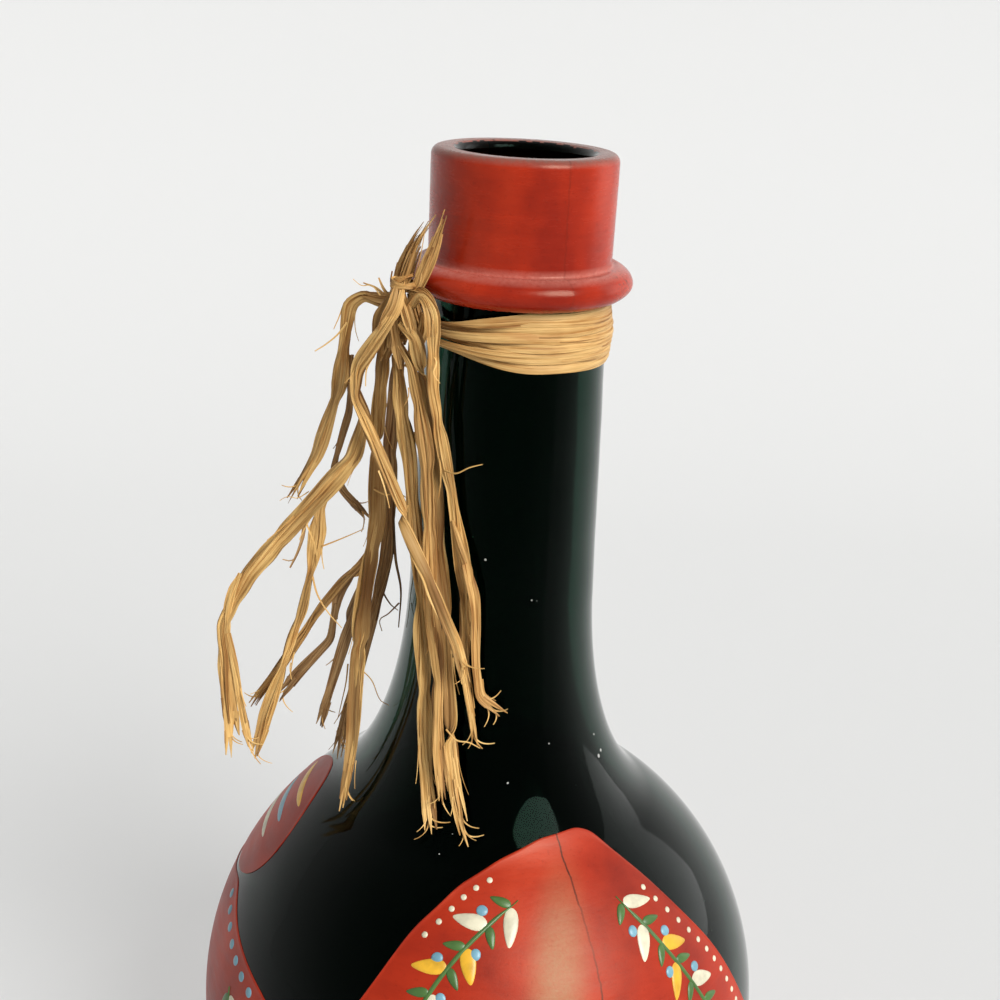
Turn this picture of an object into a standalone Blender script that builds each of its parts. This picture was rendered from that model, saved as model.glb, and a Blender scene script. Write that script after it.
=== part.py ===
"""A globe brandy bottle of dark green glass with a raffia tie round its neck.

The bottle is one blown piece: punted base, globe, long flared neck, ring bead and
tall collar with an open mouth. The tie is a hank of split raffia: a winding under
the ring, an overhand knot at the neck's left, a short tuft above the knot, and long
split ends that hang from it.

Metres, +Z up. The origin is on the floor under the bottle's axis, and the bottle's
front faces -Y.
"""

import math

import bmesh
import bpy
from mathutils import Vector
from mathutils.geometry import interpolate_bezier

MM = 0.001
UP = Vector((0, 0, 1))

# Bottle, outside
BOTTLE_HEIGHT = 225.0 * MM
GLOBE_RADIUS = 58.7 * MM
GLOBE_CENTRE_HEIGHT = 47.0 * MM
NECK_TOP_RADIUS = 16.7 * MM
NECK_FOOT_RADIUS = 18.2 * MM
NECK_FOOT_DEPTH = 84.0 * MM  # from the mouth down to where the flare starts
SHOULDER_ANGLE = math.radians(35.2)  # where the flare meets the globe, from its top
FLARE_NECK_SHARE = 0.515
FLARE_GLOBE_SHARE = 0.206

# Finish: collar and ring bead
COLLAR_RADIUS = 17.0 * MM
COLLAR_HEIGHT = 19.7 * MM
RIM_ROUNDING_WIDTH = 2.0 * MM
RIM_ROUNDING_HEIGHT = 2.5 * MM
RING_RADIUS = 21.0 * MM
RING_HEIGHT = 6.6 * MM
RING_ROOT_SINK = 0.7 * MM  # how far the bead's centre lies inside the collar
CREASE_WIDTH = 0.8 * MM

# Bottle, inside
BORE_RADIUS = 12.2 * MM
LIP_ROUNDING = 1.6 * MM
NECK_WALL = 4.4 * MM
GLOBE_WALL = 3.3 * MM
FLOOR_THICKNESS = 5.5 * MM
TROUGH_THICKNESS = 6.0 * MM
INNER_HEEL_ANGLE = math.radians(48.0)  # from straight down

# Base
BASE_RING_OUTER_RADIUS = 35.5 * MM
BASE_RING_WIDTH = 3.0 * MM
HEEL_ANGLE = math.radians(50.0)  # from straight down
HEEL_SHARE = 0.56  # of the way to the corner where the heel's two tangents meet
PUNT_DEPTH = 12.0 * MM
PUNT_RISE_SHARES = ((0.90, 0.05), (0.52, 1.0))  # of the punt's radius and depth
DOME_SHARES = ((0.50, 1.0), (0.70, 0.06))  # of the trough's radius and the dome's rise
TROUGH_RADIUS_SHARE = 0.90  # of the base ring's outer radius
INNER_HEEL_HANDLE = 4.0 * MM

# Facets of the turned glass
AROUND = 56
RIM_STEPS = 4
CREASE_STEPS = 3
RING_STEPS = 9
FLARE_STEPS = 8
GLOBE_STEPS = 14
HEEL_STEPS = 4
PUNT_STEPS = 5
INNER_GLOBE_STEPS = 9
INNER_HEEL_STEPS = 3
INNER_FLARE_STEPS = 6
DOME_STEPS = 6
WELD_DISTANCE = 0.001 * MM
SHARP_ANGLE = math.radians(40)

# Raffia winding under the ring
LOOP_COUNT = 6
WINDING_DIAMETER = 1.2 * MM
WINDING_WIDE_PITCH = 1.77 * MM
WINDING_NARROW_PITCH = 0.9 * MM
WINDING_LIFT = 1.8 * MM  # how far every other loop stands out where they crowd together
WINDING_CLEARANCE = 0.4 * MM
WINDING_DROP = 5.8 * MM  # from the ring's underside to the middle of the winding
POINTS_PER_LOOP = 24
CROWDED_ANGLE = math.radians(15.0)
SPREAD_ANGLE = math.radians(80.0)
WINDING_END_TURN = math.radians(30.0)  # over which each end comes out to the knot

# Raffia knot
KNOT_AZIMUTH = math.radians(-64.0)  # from the front, turning towards +X
KNOT_DIAMETER = 1.7 * MM
KNOT_LOBE = 1.6 * MM
KNOT_UPPER_WIDTH_SHARE = 2.74  # of the three-lobed figure, in lobes
KNOT_LOWER_WIDTH_SHARE = 1.2  # the same, at its lower half
KNOT_MEETING_SHARE = 0.7  # how far behind the knot's middle the winding meets it, of its depth
KNOT_DEPTH = 2.0 * MM
KNOT_POINT_COUNT = 60
KNOT_OPENING_ANGLE = math.radians(17.2)  # of the figure, left open at its lowest lobe
KNOT_CLEARANCE = 0.3 * MM
KNOT_RISE = 1.1 * MM  # above the middle of the winding

SEAT_GAP = 0.3 * MM
STRAND_BEVEL_STEPS = 2
WOUND_BEVEL_STEPS = 1
ROUTE_STEP_SHARE = 2.9  # between a strand's points, of its diameter
BEZIER_STEPS = 12
LEAST_GAP = 0.4 * MM

# Routes of the strands, in millimetres from the knot's centre: the object's own
# left, front and top are -X, -Y and +Z. Each strand has a diameter and its points.
STRAND_ROUTES = {
    "right_tail_1": (1.6, (
        (-0.1, -1.9, -5.2), (0.8, -2.5, -9.5), (2.5, -3.5, -17.0), (4.0, -4.5, -28.0),
        (5.5, -5.0, -43.5), (7.0, -6.5, -59.5), (8.0, -8.5, -71.0), (8.5, -12.0, -82.0),
        (10.0, -17.0, -92.0),
    )),
    "right_tail_2": (1.5, (
        (0.5, -4.0, -2.9), (2.2, -5.0, -5.0), (3.5, -5.5, -9.0), (5.0, -6.5, -16.0),
        (7.0, -7.0, -27.0), (8.0, -7.5, -42.5), (9.5, -9.0, -58.0), (10.5, -10.5, -69.5),
        (11.5, -13.5, -79.0), (12.0, -16.0, -86.0),
    )),
    "right_tail_3": (1.8, (
        (0.8, -5.5, 1.6), (2.5, -6.9, 1.4), (4.0, -6.7, -1.5), (5.1, -3.8, -9.5),
        (6.6, -3.0, -17.0), (8.6, -4.0, -28.0), (10.2, -5.6, -43.0), (11.6, -7.5, -58.5),
        (12.5, -10.5, -71.5), (14.5, -15.0, -84.0), (17.0, -20.0, -92.5),
    )),
    "right_tail_4": (1.6, (
        (2.3, -4.8, 4.1), (3.7, -6.3, 6.9), (5.7, -7.9, 6.7), (6.8, -9.0, 3.5), (6.8, -8.7, -2.0),
        (7.0, -6.9, -9.5), (8.5, -5.9, -18.0), (10.5, -6.2, -27.0), (12.5, -7.3, -39.5),
        (14.5, -7.9, -47.0), (15.0, -8.7, -58.0), (16.0, -10.2, -67.5), (17.5, -12.5, -75.0),
    )),
    "right_tail_5": (1.3, (
        (14.6, -9.3, -42.0), (16.0, -10.2, -47.0), (17.0, -10.6, -56.5), (18.0, -10.6, -65.0),
        (19.0, -11.0, -69.5), (21.0, -11.5, -70.5),
    )),
    "cross_tail": (2.0, (
        (0.0, -5.6, 4.0), (-0.9, -6.0, 2.4), (-2.5, -5.1, -0.2), (-4.7, -3.2, -4.0),
        (-7.0, -1.5, -9.5), (-7.5, -1.0, -13.5), (-4.0, -1.5, -21.0), (-1.0, -4.0, -28.5),
        (3.5, -8.5, -35.5), (8.0, -11.0, -45.5), (11.5, -12.5, -52.5), (14.0, -13.0, -57.5),
        (15.5, -13.5, -62.5),
    )),
    "centre_tail": (2.2, (
        (-2.4, 1.0, -2.7), (-3.1, 1.5, -6.0), (-3.5, 3.5, -15.5), (-3.5, 4.0, -27.5),
        (-3.0, 4.0, -39.5), (-4.5, 4.0, -49.5), (-5.5, 3.5, -60.5), (-6.0, 2.0, -73.0),
        (-6.5, -0.5, -85.0), (-7.5, -5.2, -95.5),
    )),
    "rear_tail": (1.6, (
        (0.4, 3.0, -5.4), (-0.2, 4.9, -10.0), (-1.0, 7.0, -16.5), (-1.0, 7.5, -30.5),
        (-1.5, 8.0, -45.0), (-3.0, 8.0, -56.0), (-5.0, 7.5, -66.5), (-7.0, 6.0, -77.0),
        (-9.5, 3.5, -89.0),
    )),
    "left_fold": (2.2, (
        (-3.4, 2.0, 3.0), (-6.5, 3.0, 4.2), (-9.0, 4.0, 2.5), (-10.0, 4.5, -2.0),
        (-10.0, 4.5, -6.5), (-10.2, 5.0, -10.5), (-11.0, 5.0, -14.0),
    )),
    "left_short_tail": (2.0, (
        (-11.2, 5.0, -14.6), (-13.0, 5.0, -20.5), (-15.5, 5.0, -27.5), (-18.0, 5.5, -32.5),
        (-19.5, 5.5, -35.5),
    )),
    "left_curl": (1.2, (
        (-9.3, 6.2, -13.5), (-9.3, 6.3, -19.5), (-11.5, 6.5, -25.5), (-12.0, 6.5, -30.5),
        (-10.5, 7.0, -34.5), (-8.0, 7.2, -37.0), (-6.0, 7.3, -39.5),
    )),
    "far_left_tail": (2.2, (
        (-8.6, 2.8, -12.0), (-6.5, 2.5, -15.5), (-5.9, 1.8, -18.5), (-6.7, 1.5, -23.0),
        (-10.5, 2.0, -30.5), (-16.0, 2.0, -37.0), (-23.5, 2.5, -45.5), (-29.5, 2.5, -53.5),
        (-33.5, 2.5, -62.0), (-34.0, 2.5, -72.5), (-33.0, 2.5, -81.5), (-31.5, 2.5, -89.5),
    )),
    "far_left_fork": (1.2, (
        (-31.9, 2.5, -64.5), (-30.8, 2.5, -73.0), (-29.5, 2.5, -81.0), (-28.0, 2.5, -88.5),
    )),
    "middle_left_tail": (2.2, (
        (-13.9, 4.3, -36.8), (-14.5, 5.5, -43.0), (-16.0, 5.5, -51.5), (-17.5, 5.5, -60.0),
        (-20.0, 5.5, -69.0), (-22.5, 5.5, -79.0), (-26.5, 5.0, -91.0),
    )),
    "slanting_tail": (1.8, (
        (-6.2, 5.8, -49.8), (-9.5, 8.2, -54.0), (-14.5, 9.5, -61.0), (-19.0, 9.5, -67.5),
        (-23.5, 9.5, -75.0), (-27.5, 9.5, -82.0),
    )),
    "slanting_fork": (1.4, (
        (-11.5, 8.7, -59.6), (-11.5, 8.5, -65.0), (-14.0, 8.5, -70.0), (-18.0, 8.5, -74.5),
        (-21.5, 8.5, -79.5),
    )),
    "dark_tail": (1.5, (
        (-6.9, 5.2, -58.2), (-8.5, 6.4, -64.0), (-10.0, 6.5, -70.0), (-12.0, 7.0, -77.5),
        (-14.0, 7.0, -84.0),
    )),
    "tuft_1": (1.6, (
        (-0.2, -3.1, 4.6), (1.5, -3.5, 10.0), (3.5, -4.0, 15.5), (6.5, -5.0, 20.5),
    )),
    "tuft_2": (1.2, (
        (2.3, -2.7, 3.8), (3.2, -3.6, 7.5), (4.4, -4.7, 11.5), (6.0, -6.0, 16.5), (8.0, -7.5, 22.0),
    )),
    "tuft_3": (1.2, (
        (-1.2, -1.0, 4.1), (0.0, -0.5, 10.5), (2.0, -1.5, 15.5), (4.0, -2.0, 19.0),
    )),
}

# Straw colours: lit ribbons, shaded ones, and the dark old ends
PALE_STRAW = (0.78, 0.55, 0.24, 1)
TAN_STRAW = (0.60, 0.39, 0.15, 1)
DARK_STRAW = (0.33, 0.20, 0.08, 1)
DARK_STRANDS = ("left_short_tail", "dark_tail", "slanting_fork", "left_curl")
TAN_STRANDS = ("rear_tail", "tuft_1", "tuft_3", "slanting_tail", "left_fold")


def clear_scene():
    for found in list(bpy.data.objects):
        bpy.data.objects.remove(found, do_unlink=True)


def material(name, colour, roughness, metallic=0.0, transmission=0.0):
    made = bpy.data.materials.new(name)
    made.use_nodes = True
    made.diffuse_color = colour
    shader = made.node_tree.nodes["Principled BSDF"]
    shader.inputs["Base Color"].default_value = colour
    shader.inputs["Roughness"].default_value = roughness
    shader.inputs["Metallic"].default_value = metallic
    shader.inputs["Transmission Weight"].default_value = transmission
    return made


def arc(centre, radii, start, end, steps):
    """Points (r, z) on an ellipse round centre, from one angle to another."""
    angles = [start + (end - start) * i / steps for i in range(steps + 1)]
    return [(centre[0] + radii[0] * math.cos(a), centre[1] + radii[1] * math.sin(a)) for a in angles]


def bend(start, start_handle, end_handle, end, steps):
    """Points (r, z) on a Bezier curve."""
    corners = [Vector((p[0], p[1], 0)) for p in (start, start_handle, end_handle, end)]
    return [(p.x, p.y) for p in interpolate_bezier(*corners, steps + 1)]


def towards(point, direction, length):
    """The point this length from point along a direction (r, z)."""
    size = math.hypot(direction[0], direction[1])
    return (point[0] + direction[0] * length / size, point[1] + direction[1] * length / size)


def flare(neck_foot, neck_direction, globe_radius, steps):
    """From the foot of the neck down to the globe, tangent to both."""
    angle = SHOULDER_ANGLE
    meets = (globe_radius * math.sin(angle), GLOBE_CENTRE_HEIGHT + globe_radius * math.cos(angle))
    reach = math.hypot(meets[0] - neck_foot[0], meets[1] - neck_foot[1])
    first = towards(neck_foot, neck_direction, FLARE_NECK_SHARE * reach)
    second = towards(meets, (-math.cos(angle), math.sin(angle)), FLARE_GLOBE_SHARE * reach)
    return bend(neck_foot, first, second, meets, steps)


def finish_outline():
    """Collar and ring bead, from the rim's flat down to the neck's top."""
    top = BOTTLE_HEIGHT
    rim_centre = (COLLAR_RADIUS - RIM_ROUNDING_WIDTH, top - RIM_ROUNDING_HEIGHT)
    rim = arc(rim_centre, (RIM_ROUNDING_WIDTH, RIM_ROUNDING_HEIGHT), math.pi / 2, 0, RIM_STEPS)
    ring_centre = (COLLAR_RADIUS - RING_ROOT_SINK, top - COLLAR_HEIGHT - RING_HEIGHT / 2)
    ring_radii = (RING_RADIUS - ring_centre[0], RING_HEIGHT / 2)
    leaves = math.acos((COLLAR_RADIUS + CREASE_WIDTH - ring_centre[0]) / ring_radii[0])
    returns = -math.acos((NECK_TOP_RADIUS - ring_centre[0]) / ring_radii[0])
    ring = arc(ring_centre, ring_radii, leaves, returns, RING_STEPS)
    corner = (COLLAR_RADIUS, ring[0][1])
    above = (COLLAR_RADIUS, ring[0][1] + CREASE_WIDTH)
    crease = bend(above, corner, corner, ring[0], CREASE_STEPS)
    return rim + crease + ring[1:]


def base_outline(globe_end):
    """Heel, resting ring and punt, from the globe down to the axis."""
    foot = (BASE_RING_OUTER_RADIUS, 0)
    corner = globe_end[0] - globe_end[1] / math.tan(HEEL_ANGLE)
    first = (globe_end[0] + (corner - globe_end[0]) * HEEL_SHARE, globe_end[1] * (1 - HEEL_SHARE))
    second = (foot[0] + (corner - foot[0]) * HEEL_SHARE, 0)
    heel = bend(globe_end, first, second, foot, HEEL_STEPS)
    edge = BASE_RING_OUTER_RADIUS - BASE_RING_WIDTH
    handles = [(edge * r, PUNT_DEPTH * z) for r, z in PUNT_RISE_SHARES]
    punt = bend((edge, 0), handles[0], handles[1], (0, PUNT_DEPTH), PUNT_STEPS)
    return heel[1:] + punt


def outer_outline():
    finish = finish_outline()
    foot = (NECK_FOOT_RADIUS, BOTTLE_HEIGHT - NECK_FOOT_DEPTH)
    neck_direction = (foot[0] - finish[-1][0], foot[1] - finish[-1][1])
    shoulder = flare(foot, neck_direction, GLOBE_RADIUS, FLARE_STEPS)
    centre = (0, GLOBE_CENTRE_HEIGHT)
    shoulder_end, heel_end = math.pi / 2 - SHOULDER_ANGLE, HEEL_ANGLE - math.pi / 2
    globe = arc(centre, (GLOBE_RADIUS, GLOBE_RADIUS), shoulder_end, heel_end, GLOBE_STEPS)
    return finish + shoulder + globe[1:] + base_outline(globe[-1])


def inner_outline():
    """The hollow, from the middle of its floor up to the mouth."""
    floor = PUNT_DEPTH + FLOOR_THICKNESS
    trough = (TROUGH_RADIUS_SHARE * BASE_RING_OUTER_RADIUS, TROUGH_THICKNESS)
    rise = floor - trough[1]
    handles = [(trough[0] * r, trough[1] + rise * z) for r, z in DOME_SHARES]
    dome = bend((0, floor), handles[0], handles[1], trough, DOME_STEPS)
    radius = GLOBE_RADIUS - GLOBE_WALL
    centre = (0, GLOBE_CENTRE_HEIGHT)
    heel_end, shoulder_end = INNER_HEEL_ANGLE - math.pi / 2, math.pi / 2 - SHOULDER_ANGLE
    globe = arc(centre, (radius, radius), heel_end, shoulder_end, INNER_GLOBE_STEPS)
    back = (-math.cos(INNER_HEEL_ANGLE), -math.sin(INNER_HEEL_ANGLE))
    trough_out = towards(trough, (1, 0), INNER_HEEL_HANDLE)
    heel = bend(trough, trough_out, towards(globe[0], back, INNER_HEEL_HANDLE), globe[0], INNER_HEEL_STEPS)
    throat = (BORE_RADIUS, BOTTLE_HEIGHT - COLLAR_HEIGHT - RING_HEIGHT)
    foot = (NECK_FOOT_RADIUS - NECK_WALL, BOTTLE_HEIGHT - NECK_FOOT_DEPTH)
    shoulder = flare(foot, (foot[0] - throat[0], foot[1] - throat[1]), radius, INNER_FLARE_STEPS)
    lip_centre = (BORE_RADIUS + LIP_ROUNDING, BOTTLE_HEIGHT - LIP_ROUNDING)
    lip = arc(lip_centre, (LIP_ROUNDING, LIP_ROUNDING), math.pi, math.pi / 2, RIM_STEPS)
    return dome + heel[1:] + globe[1:] + shoulder[-2::-1] + [throat] + lip


def add_bottle(glass, lacquer):
    """The glass vessel, spun from one outline that runs up its inside and down its outside."""
    turned = bmesh.new()
    corners = [turned.verts.new((r, 0, z)) for r, z in inner_outline() + outer_outline()]
    edges = [turned.edges.new(pair) for pair in zip(corners, corners[1:])]
    bmesh.ops.spin(turned, geom=corners + edges, axis=UP, angle=2 * math.pi, steps=AROUND)
    bmesh.ops.remove_doubles(turned, verts=turned.verts, dist=WELD_DISTANCE)
    bmesh.ops.recalc_face_normals(turned, faces=turned.faces)
    underside = BOTTLE_HEIGHT - COLLAR_HEIGHT - RING_HEIGHT
    for face in turned.faces:
        face.smooth = True
        middle = face.calc_center_median()
        outside = math.hypot(middle.x, middle.y) > BORE_RADIUS + LIP_ROUNDING
        face.material_index = int(middle.z > underside and outside)
    mesh = bpy.data.meshes.new("bottle")
    turned.to_mesh(mesh)
    turned.free()
    mesh.set_sharp_from_angle(angle=SHARP_ANGLE)
    mesh.materials.append(glass)
    mesh.materials.append(lacquer)
    bottle = bpy.data.objects.new("bottle", mesh)
    bpy.context.collection.objects.link(bottle)
    return bottle


def smooth_route(points):
    """A smooth curve through the points, each of its joints tangent to its neighbours' chord."""
    ends = [points[0] * 2 - points[1]] + list(points) + [points[-1] * 2 - points[-2]]
    slopes = [(after - before).normalized() for before, after in zip(ends, ends[2:])]
    smooth = []
    for i, (start, end) in enumerate(zip(points, points[1:])):
        third = (end - start).length / 3
        handles = (start + slopes[i] * third, end - slopes[i + 1] * third)
        smooth += interpolate_bezier(start, *handles, end, BEZIER_STEPS)[:-1]
    return smooth + [points[-1]]


def evenly(points, step):
    """The same line with its points a steady step apart."""
    lengths = [0]
    for start, end in zip(points, points[1:]):
        lengths.append(lengths[-1] + (end - start).length)
    count = max(2, round(lengths[-1] / step))
    even, k = [], 0
    for i in range(count + 1):
        along = lengths[-1] * i / count
        while k < len(points) - 2 and lengths[k + 1] < along:
            k += 1
        share = (along - lengths[k]) / (lengths[k + 1] - lengths[k])
        even.append(points[k].lerp(points[k + 1], share))
    return even


def add_tube(name, points, diameter, bevel_steps, look):
    """A round tube with closed ends along a line of points."""
    line = bpy.data.curves.new(name, "CURVE")
    line.dimensions = "3D"
    line.bevel_depth = diameter / 2
    line.bevel_resolution = bevel_steps
    line.use_fill_caps = True
    spline = line.splines.new("POLY")
    spline.points.add(len(points) - 1)
    for corner, point in zip(spline.points, points):
        corner.co = (*point, 1)
    line.materials.append(look)
    tube = bpy.data.objects.new(name, line)
    bpy.context.collection.objects.link(tube)
    return tube


def report_least_gap(name, points, diameter):
    """Prints how near a wound tube comes to itself, measured from point to point between loops."""
    fine = evenly(points, diameter / 4)
    apart = 14  # points along the tube that count as the same stretch
    least = min(
        (fine[i] - fine[j]).length
        for i in range(len(fine))
        for j in range(i + apart, len(fine))
    )
    print(f"{name}: least gap to itself {(least - diameter) / MM:.2f} mm, over {LEAST_GAP / MM:.1f} wanted")


def eased(share):
    share = min(max(share, 0), 1)
    return share * share * (3 - 2 * share)


def winding_height():
    return BOTTLE_HEIGHT - COLLAR_HEIGHT - RING_HEIGHT - WINDING_DROP


def neck_radius_at(height):
    top = BOTTLE_HEIGHT - COLLAR_HEIGHT - RING_HEIGHT
    foot = BOTTLE_HEIGHT - NECK_FOOT_DEPTH
    share = (top - height) / (top - foot)
    return NECK_TOP_RADIUS + (NECK_FOOT_RADIUS - NECK_TOP_RADIUS) * share


def winding_inner_radius():
    """The winding clears the neck at its lowest loop."""
    reach = WINDING_WIDE_PITCH * LOOP_COUNT / 2
    return neck_radius_at(winding_height() - reach) + WINDING_CLEARANCE


def knot_radius():
    """From the bottle's axis to the knot's centre, outside the winding's raised loops."""
    wound = winding_inner_radius() + WINDING_DIAMETER + WINDING_LIFT
    return wound + KNOT_CLEARANCE + KNOT_DEPTH + KNOT_DIAMETER / 2


def winding_points():
    """Loops that lie side by side round the neck, and crowd into two layers behind the knot. Each
    end runs straight at the knot's flank."""
    meets = knot_radius() - KNOT_MEETING_SHARE * KNOT_DEPTH
    beside = KNOT_DIAMETER / 2 + SEAT_GAP + WINDING_DIAMETER
    upper = Vector((KNOT_LOBE * KNOT_UPPER_WIDTH_SHARE + beside, meets))
    lower = Vector((KNOT_LOBE * KNOT_LOWER_WIDTH_SHARE + beside, meets))
    start = math.atan2(*upper)
    end = 2 * math.pi * LOOP_COUNT - math.atan2(*lower)
    count = LOOP_COUNT * POINTS_PER_LOOP
    base = winding_inner_radius() + WINDING_DIAMETER / 2
    points = []
    for i in range(count + 1):
        turned = start + (end - start) * i / count
        off = abs((turned + math.pi) % (2 * math.pi) - math.pi)
        spread = eased((off - CROWDED_ANGLE) / (SPREAD_ANGLE - CROWDED_ANGLE))
        pitch = WINDING_NARROW_PITCH + (WINDING_WIDE_PITCH - WINDING_NARROW_PITCH) * spread
        lift = WINDING_LIFT * (1 - spread**2) * (1 + math.cos(turned / 2)) / 2
        radius = base + lift
        for reach, left in ((upper.length, turned - start), (lower.length, end - turned)):
            radius += (reach - base - WINDING_LIFT) * eased(1 - left / WINDING_END_TURN)
        azimuth = KNOT_AZIMUTH + turned
        height = pitch * (LOOP_COUNT / 2 - turned / (2 * math.pi))
        points.append(Vector((radius * math.sin(azimuth), -radius * math.cos(azimuth), height)))
    along = Vector((math.cos(KNOT_AZIMUTH), math.sin(KNOT_AZIMUTH), 0)) * WINDING_DIAMETER
    return [points[0] - along] + points + [points[-1] + along]


def knot_points():
    """An overhand knot: a three-lobed figure, open at its lowest lobe, in X (along the neck's
    surface), Y (outwards) and Z."""
    first = math.pi + KNOT_OPENING_ANGLE
    last = 3 * math.pi - KNOT_OPENING_ANGLE
    points = []
    for i in range(KNOT_POINT_COUNT + 1):
        turned = first + (last - first) * i / KNOT_POINT_COUNT
        along = KNOT_LOBE * (math.sin(turned) + 2 * math.sin(2 * turned))
        height = KNOT_LOBE * (math.cos(turned) - 2 * math.cos(2 * turned))
        points.append(Vector((along, KNOT_DEPTH * math.sin(3 * turned), height)))
    return points


def knot_centre():
    radius = knot_radius()
    place = (radius * math.sin(KNOT_AZIMUTH), -radius * math.cos(KNOT_AZIMUTH), winding_height() + KNOT_RISE)
    return Vector(place)


def add_empty(name, place):
    empty = bpy.data.objects.new(name, None)
    bpy.context.collection.objects.link(empty)
    empty.location = place
    return empty


def add_winding(look, carrier):
    points = winding_points()
    winding = add_tube("neck_winding", points, WINDING_DIAMETER, WOUND_BEVEL_STEPS, look)
    winding.parent = carrier
    winding.location = UP * winding_height()
    report_least_gap("neck_winding", points, WINDING_DIAMETER)


def add_knot(look, carrier):
    points = knot_points()
    knot = add_tube("knot", points, KNOT_DIAMETER, WOUND_BEVEL_STEPS, look)
    knot.parent = carrier
    knot.rotation_euler.z = KNOT_AZIMUTH
    report_least_gap("knot", points, KNOT_DIAMETER)


def add_strands(looks, carrier):
    """Every hanging end and tuft strand, each its own tube, carried at the knot."""
    for name, (diameter, route) in STRAND_ROUTES.items():
        smooth = smooth_route([Vector(point) * MM for point in route])
        points = evenly(smooth, ROUTE_STEP_SHARE * diameter * MM)
        look = looks["dark"] if name in DARK_STRANDS else looks["tan"] if name in TAN_STRANDS else looks["pale"]
        strand = add_tube(name, points, diameter * MM, STRAND_BEVEL_STEPS, look)
        strand.parent = carrier


def main():
    clear_scene()
    glass = material("green_glass", (0.004, 0.022, 0.010, 1), 0.06, transmission=0.6)
    lacquer = material("red_lacquer", (0.50, 0.025, 0.008, 1), 0.32)
    looks = {
        "pale": material("pale_straw", PALE_STRAW, 0.55),
        "tan": material("tan_straw", TAN_STRAW, 0.6),
        "dark": material("dark_straw", DARK_STRAW, 0.65),
    }
    axis = add_empty("bottle_axis", Vector())
    bottle = add_bottle(glass, lacquer)
    bottle.parent = axis
    add_winding(looks["pale"], axis)
    tie = add_empty("tie", knot_centre())
    tie.parent = axis
    add_knot(looks["tan"], tie)
    add_strands(looks, tie)


main()
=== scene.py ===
import math
import random

import bpy
import numpy as np
from mathutils import Matrix, Vector, noise


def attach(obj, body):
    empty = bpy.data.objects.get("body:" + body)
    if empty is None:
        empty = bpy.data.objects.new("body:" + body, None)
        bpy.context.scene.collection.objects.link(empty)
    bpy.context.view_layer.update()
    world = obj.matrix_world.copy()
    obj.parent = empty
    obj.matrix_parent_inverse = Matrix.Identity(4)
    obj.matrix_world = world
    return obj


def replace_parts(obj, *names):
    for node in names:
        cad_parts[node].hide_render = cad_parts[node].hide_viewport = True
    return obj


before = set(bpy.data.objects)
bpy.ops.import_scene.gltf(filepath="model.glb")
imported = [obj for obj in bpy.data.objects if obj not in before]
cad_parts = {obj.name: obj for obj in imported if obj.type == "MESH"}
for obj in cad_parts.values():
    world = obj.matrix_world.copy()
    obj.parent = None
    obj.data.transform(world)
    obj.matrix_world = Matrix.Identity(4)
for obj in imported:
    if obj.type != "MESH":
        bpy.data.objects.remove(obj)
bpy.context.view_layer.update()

MM = 0.001

# The camera, in metres and degrees
BOTTLE_HEIGHT = 0.225
CAMERA_DISTANCE = 0.275
CAMERA_ABOVE_MOUTH = 0.0318
PITCH, ROLL, YAW = (math.radians(angle) for angle in (19.82, 3.22, -0.24))
LENS, SENSOR = 54, 36


def add_camera():
    ahead = Vector((math.sin(YAW) * math.cos(PITCH), math.cos(YAW) * math.cos(PITCH), -math.sin(PITCH)))
    level = Vector((math.cos(YAW), -math.sin(YAW), 0))
    above = level.cross(ahead)
    right = math.cos(ROLL) * level + math.sin(ROLL) * above
    up = -math.sin(ROLL) * level + math.cos(ROLL) * above
    data = bpy.data.cameras.new("camera")
    data.lens, data.sensor_width, data.clip_start = LENS, SENSOR, 0.01
    camera = bpy.data.objects.new("camera", data)
    place = Matrix.Translation((0, -CAMERA_DISTANCE, BOTTLE_HEIGHT + CAMERA_ABOVE_MOUTH))
    camera.matrix_world = place @ Matrix((right, up, -ahead)).transposed().to_4x4()
    bpy.context.collection.objects.link(camera)
    bpy.context.scene.camera = camera


# Lines
def unit(v):
    return v / np.maximum(np.linalg.norm(v, axis=-1, keepdims=True), 1e-12)


def eased(x):
    x = np.clip(x, 0, 1)
    return x * x * (3 - 2 * x)


def wander(seed, length):
    """A smooth random function of a distance in metres, from about -1 to 1."""
    rng = random.Random(seed)
    waves = [(rng.uniform(0.5, 1.8) / length, rng.uniform(0, 2 * math.pi)) for _ in range(4)]
    return lambda s: sum(np.sin(2 * math.pi * f * s + p) for f, p in waves) / 2.4


def bezier(a, b, c, d, t):
    return (1 - t) ** 3 * a + 3 * (1 - t) ** 2 * t * b + 3 * (1 - t) * t * t * c + t ** 3 * d


def distances(line):
    return np.concatenate([[0], np.cumsum(np.linalg.norm(np.diff(line, axis=0), axis=1))])


def even(line, step):
    """The line with evenly spaced points."""
    along = distances(line)
    at = np.linspace(0, along[-1], max(4, int(round(along[-1] / step))) + 1)
    return np.stack([np.interp(at, along, line[:, k]) for k in range(3)], -1)


def smooth_path(points, step=0.9 * MM):
    """A smooth curve through points (metres), with evenly spaced points."""
    points = np.array(points, float)
    ends = np.vstack([2 * points[0] - points[1], points, 2 * points[-1] - points[-2]])
    slopes = unit(ends[2:] - ends[:-2])
    t = np.linspace(0, 1, 16, endpoint=False)[:, None]
    fine = []
    for i in range(len(points) - 1):
        a, d = points[i], points[i + 1]
        third = np.linalg.norm(d - a) / 3
        fine.append(bezier(a, a + slopes[i] * third, d - slopes[i + 1] * third, d, t))
    return even(np.vstack(fine + [points[-1:]]), step)


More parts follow.
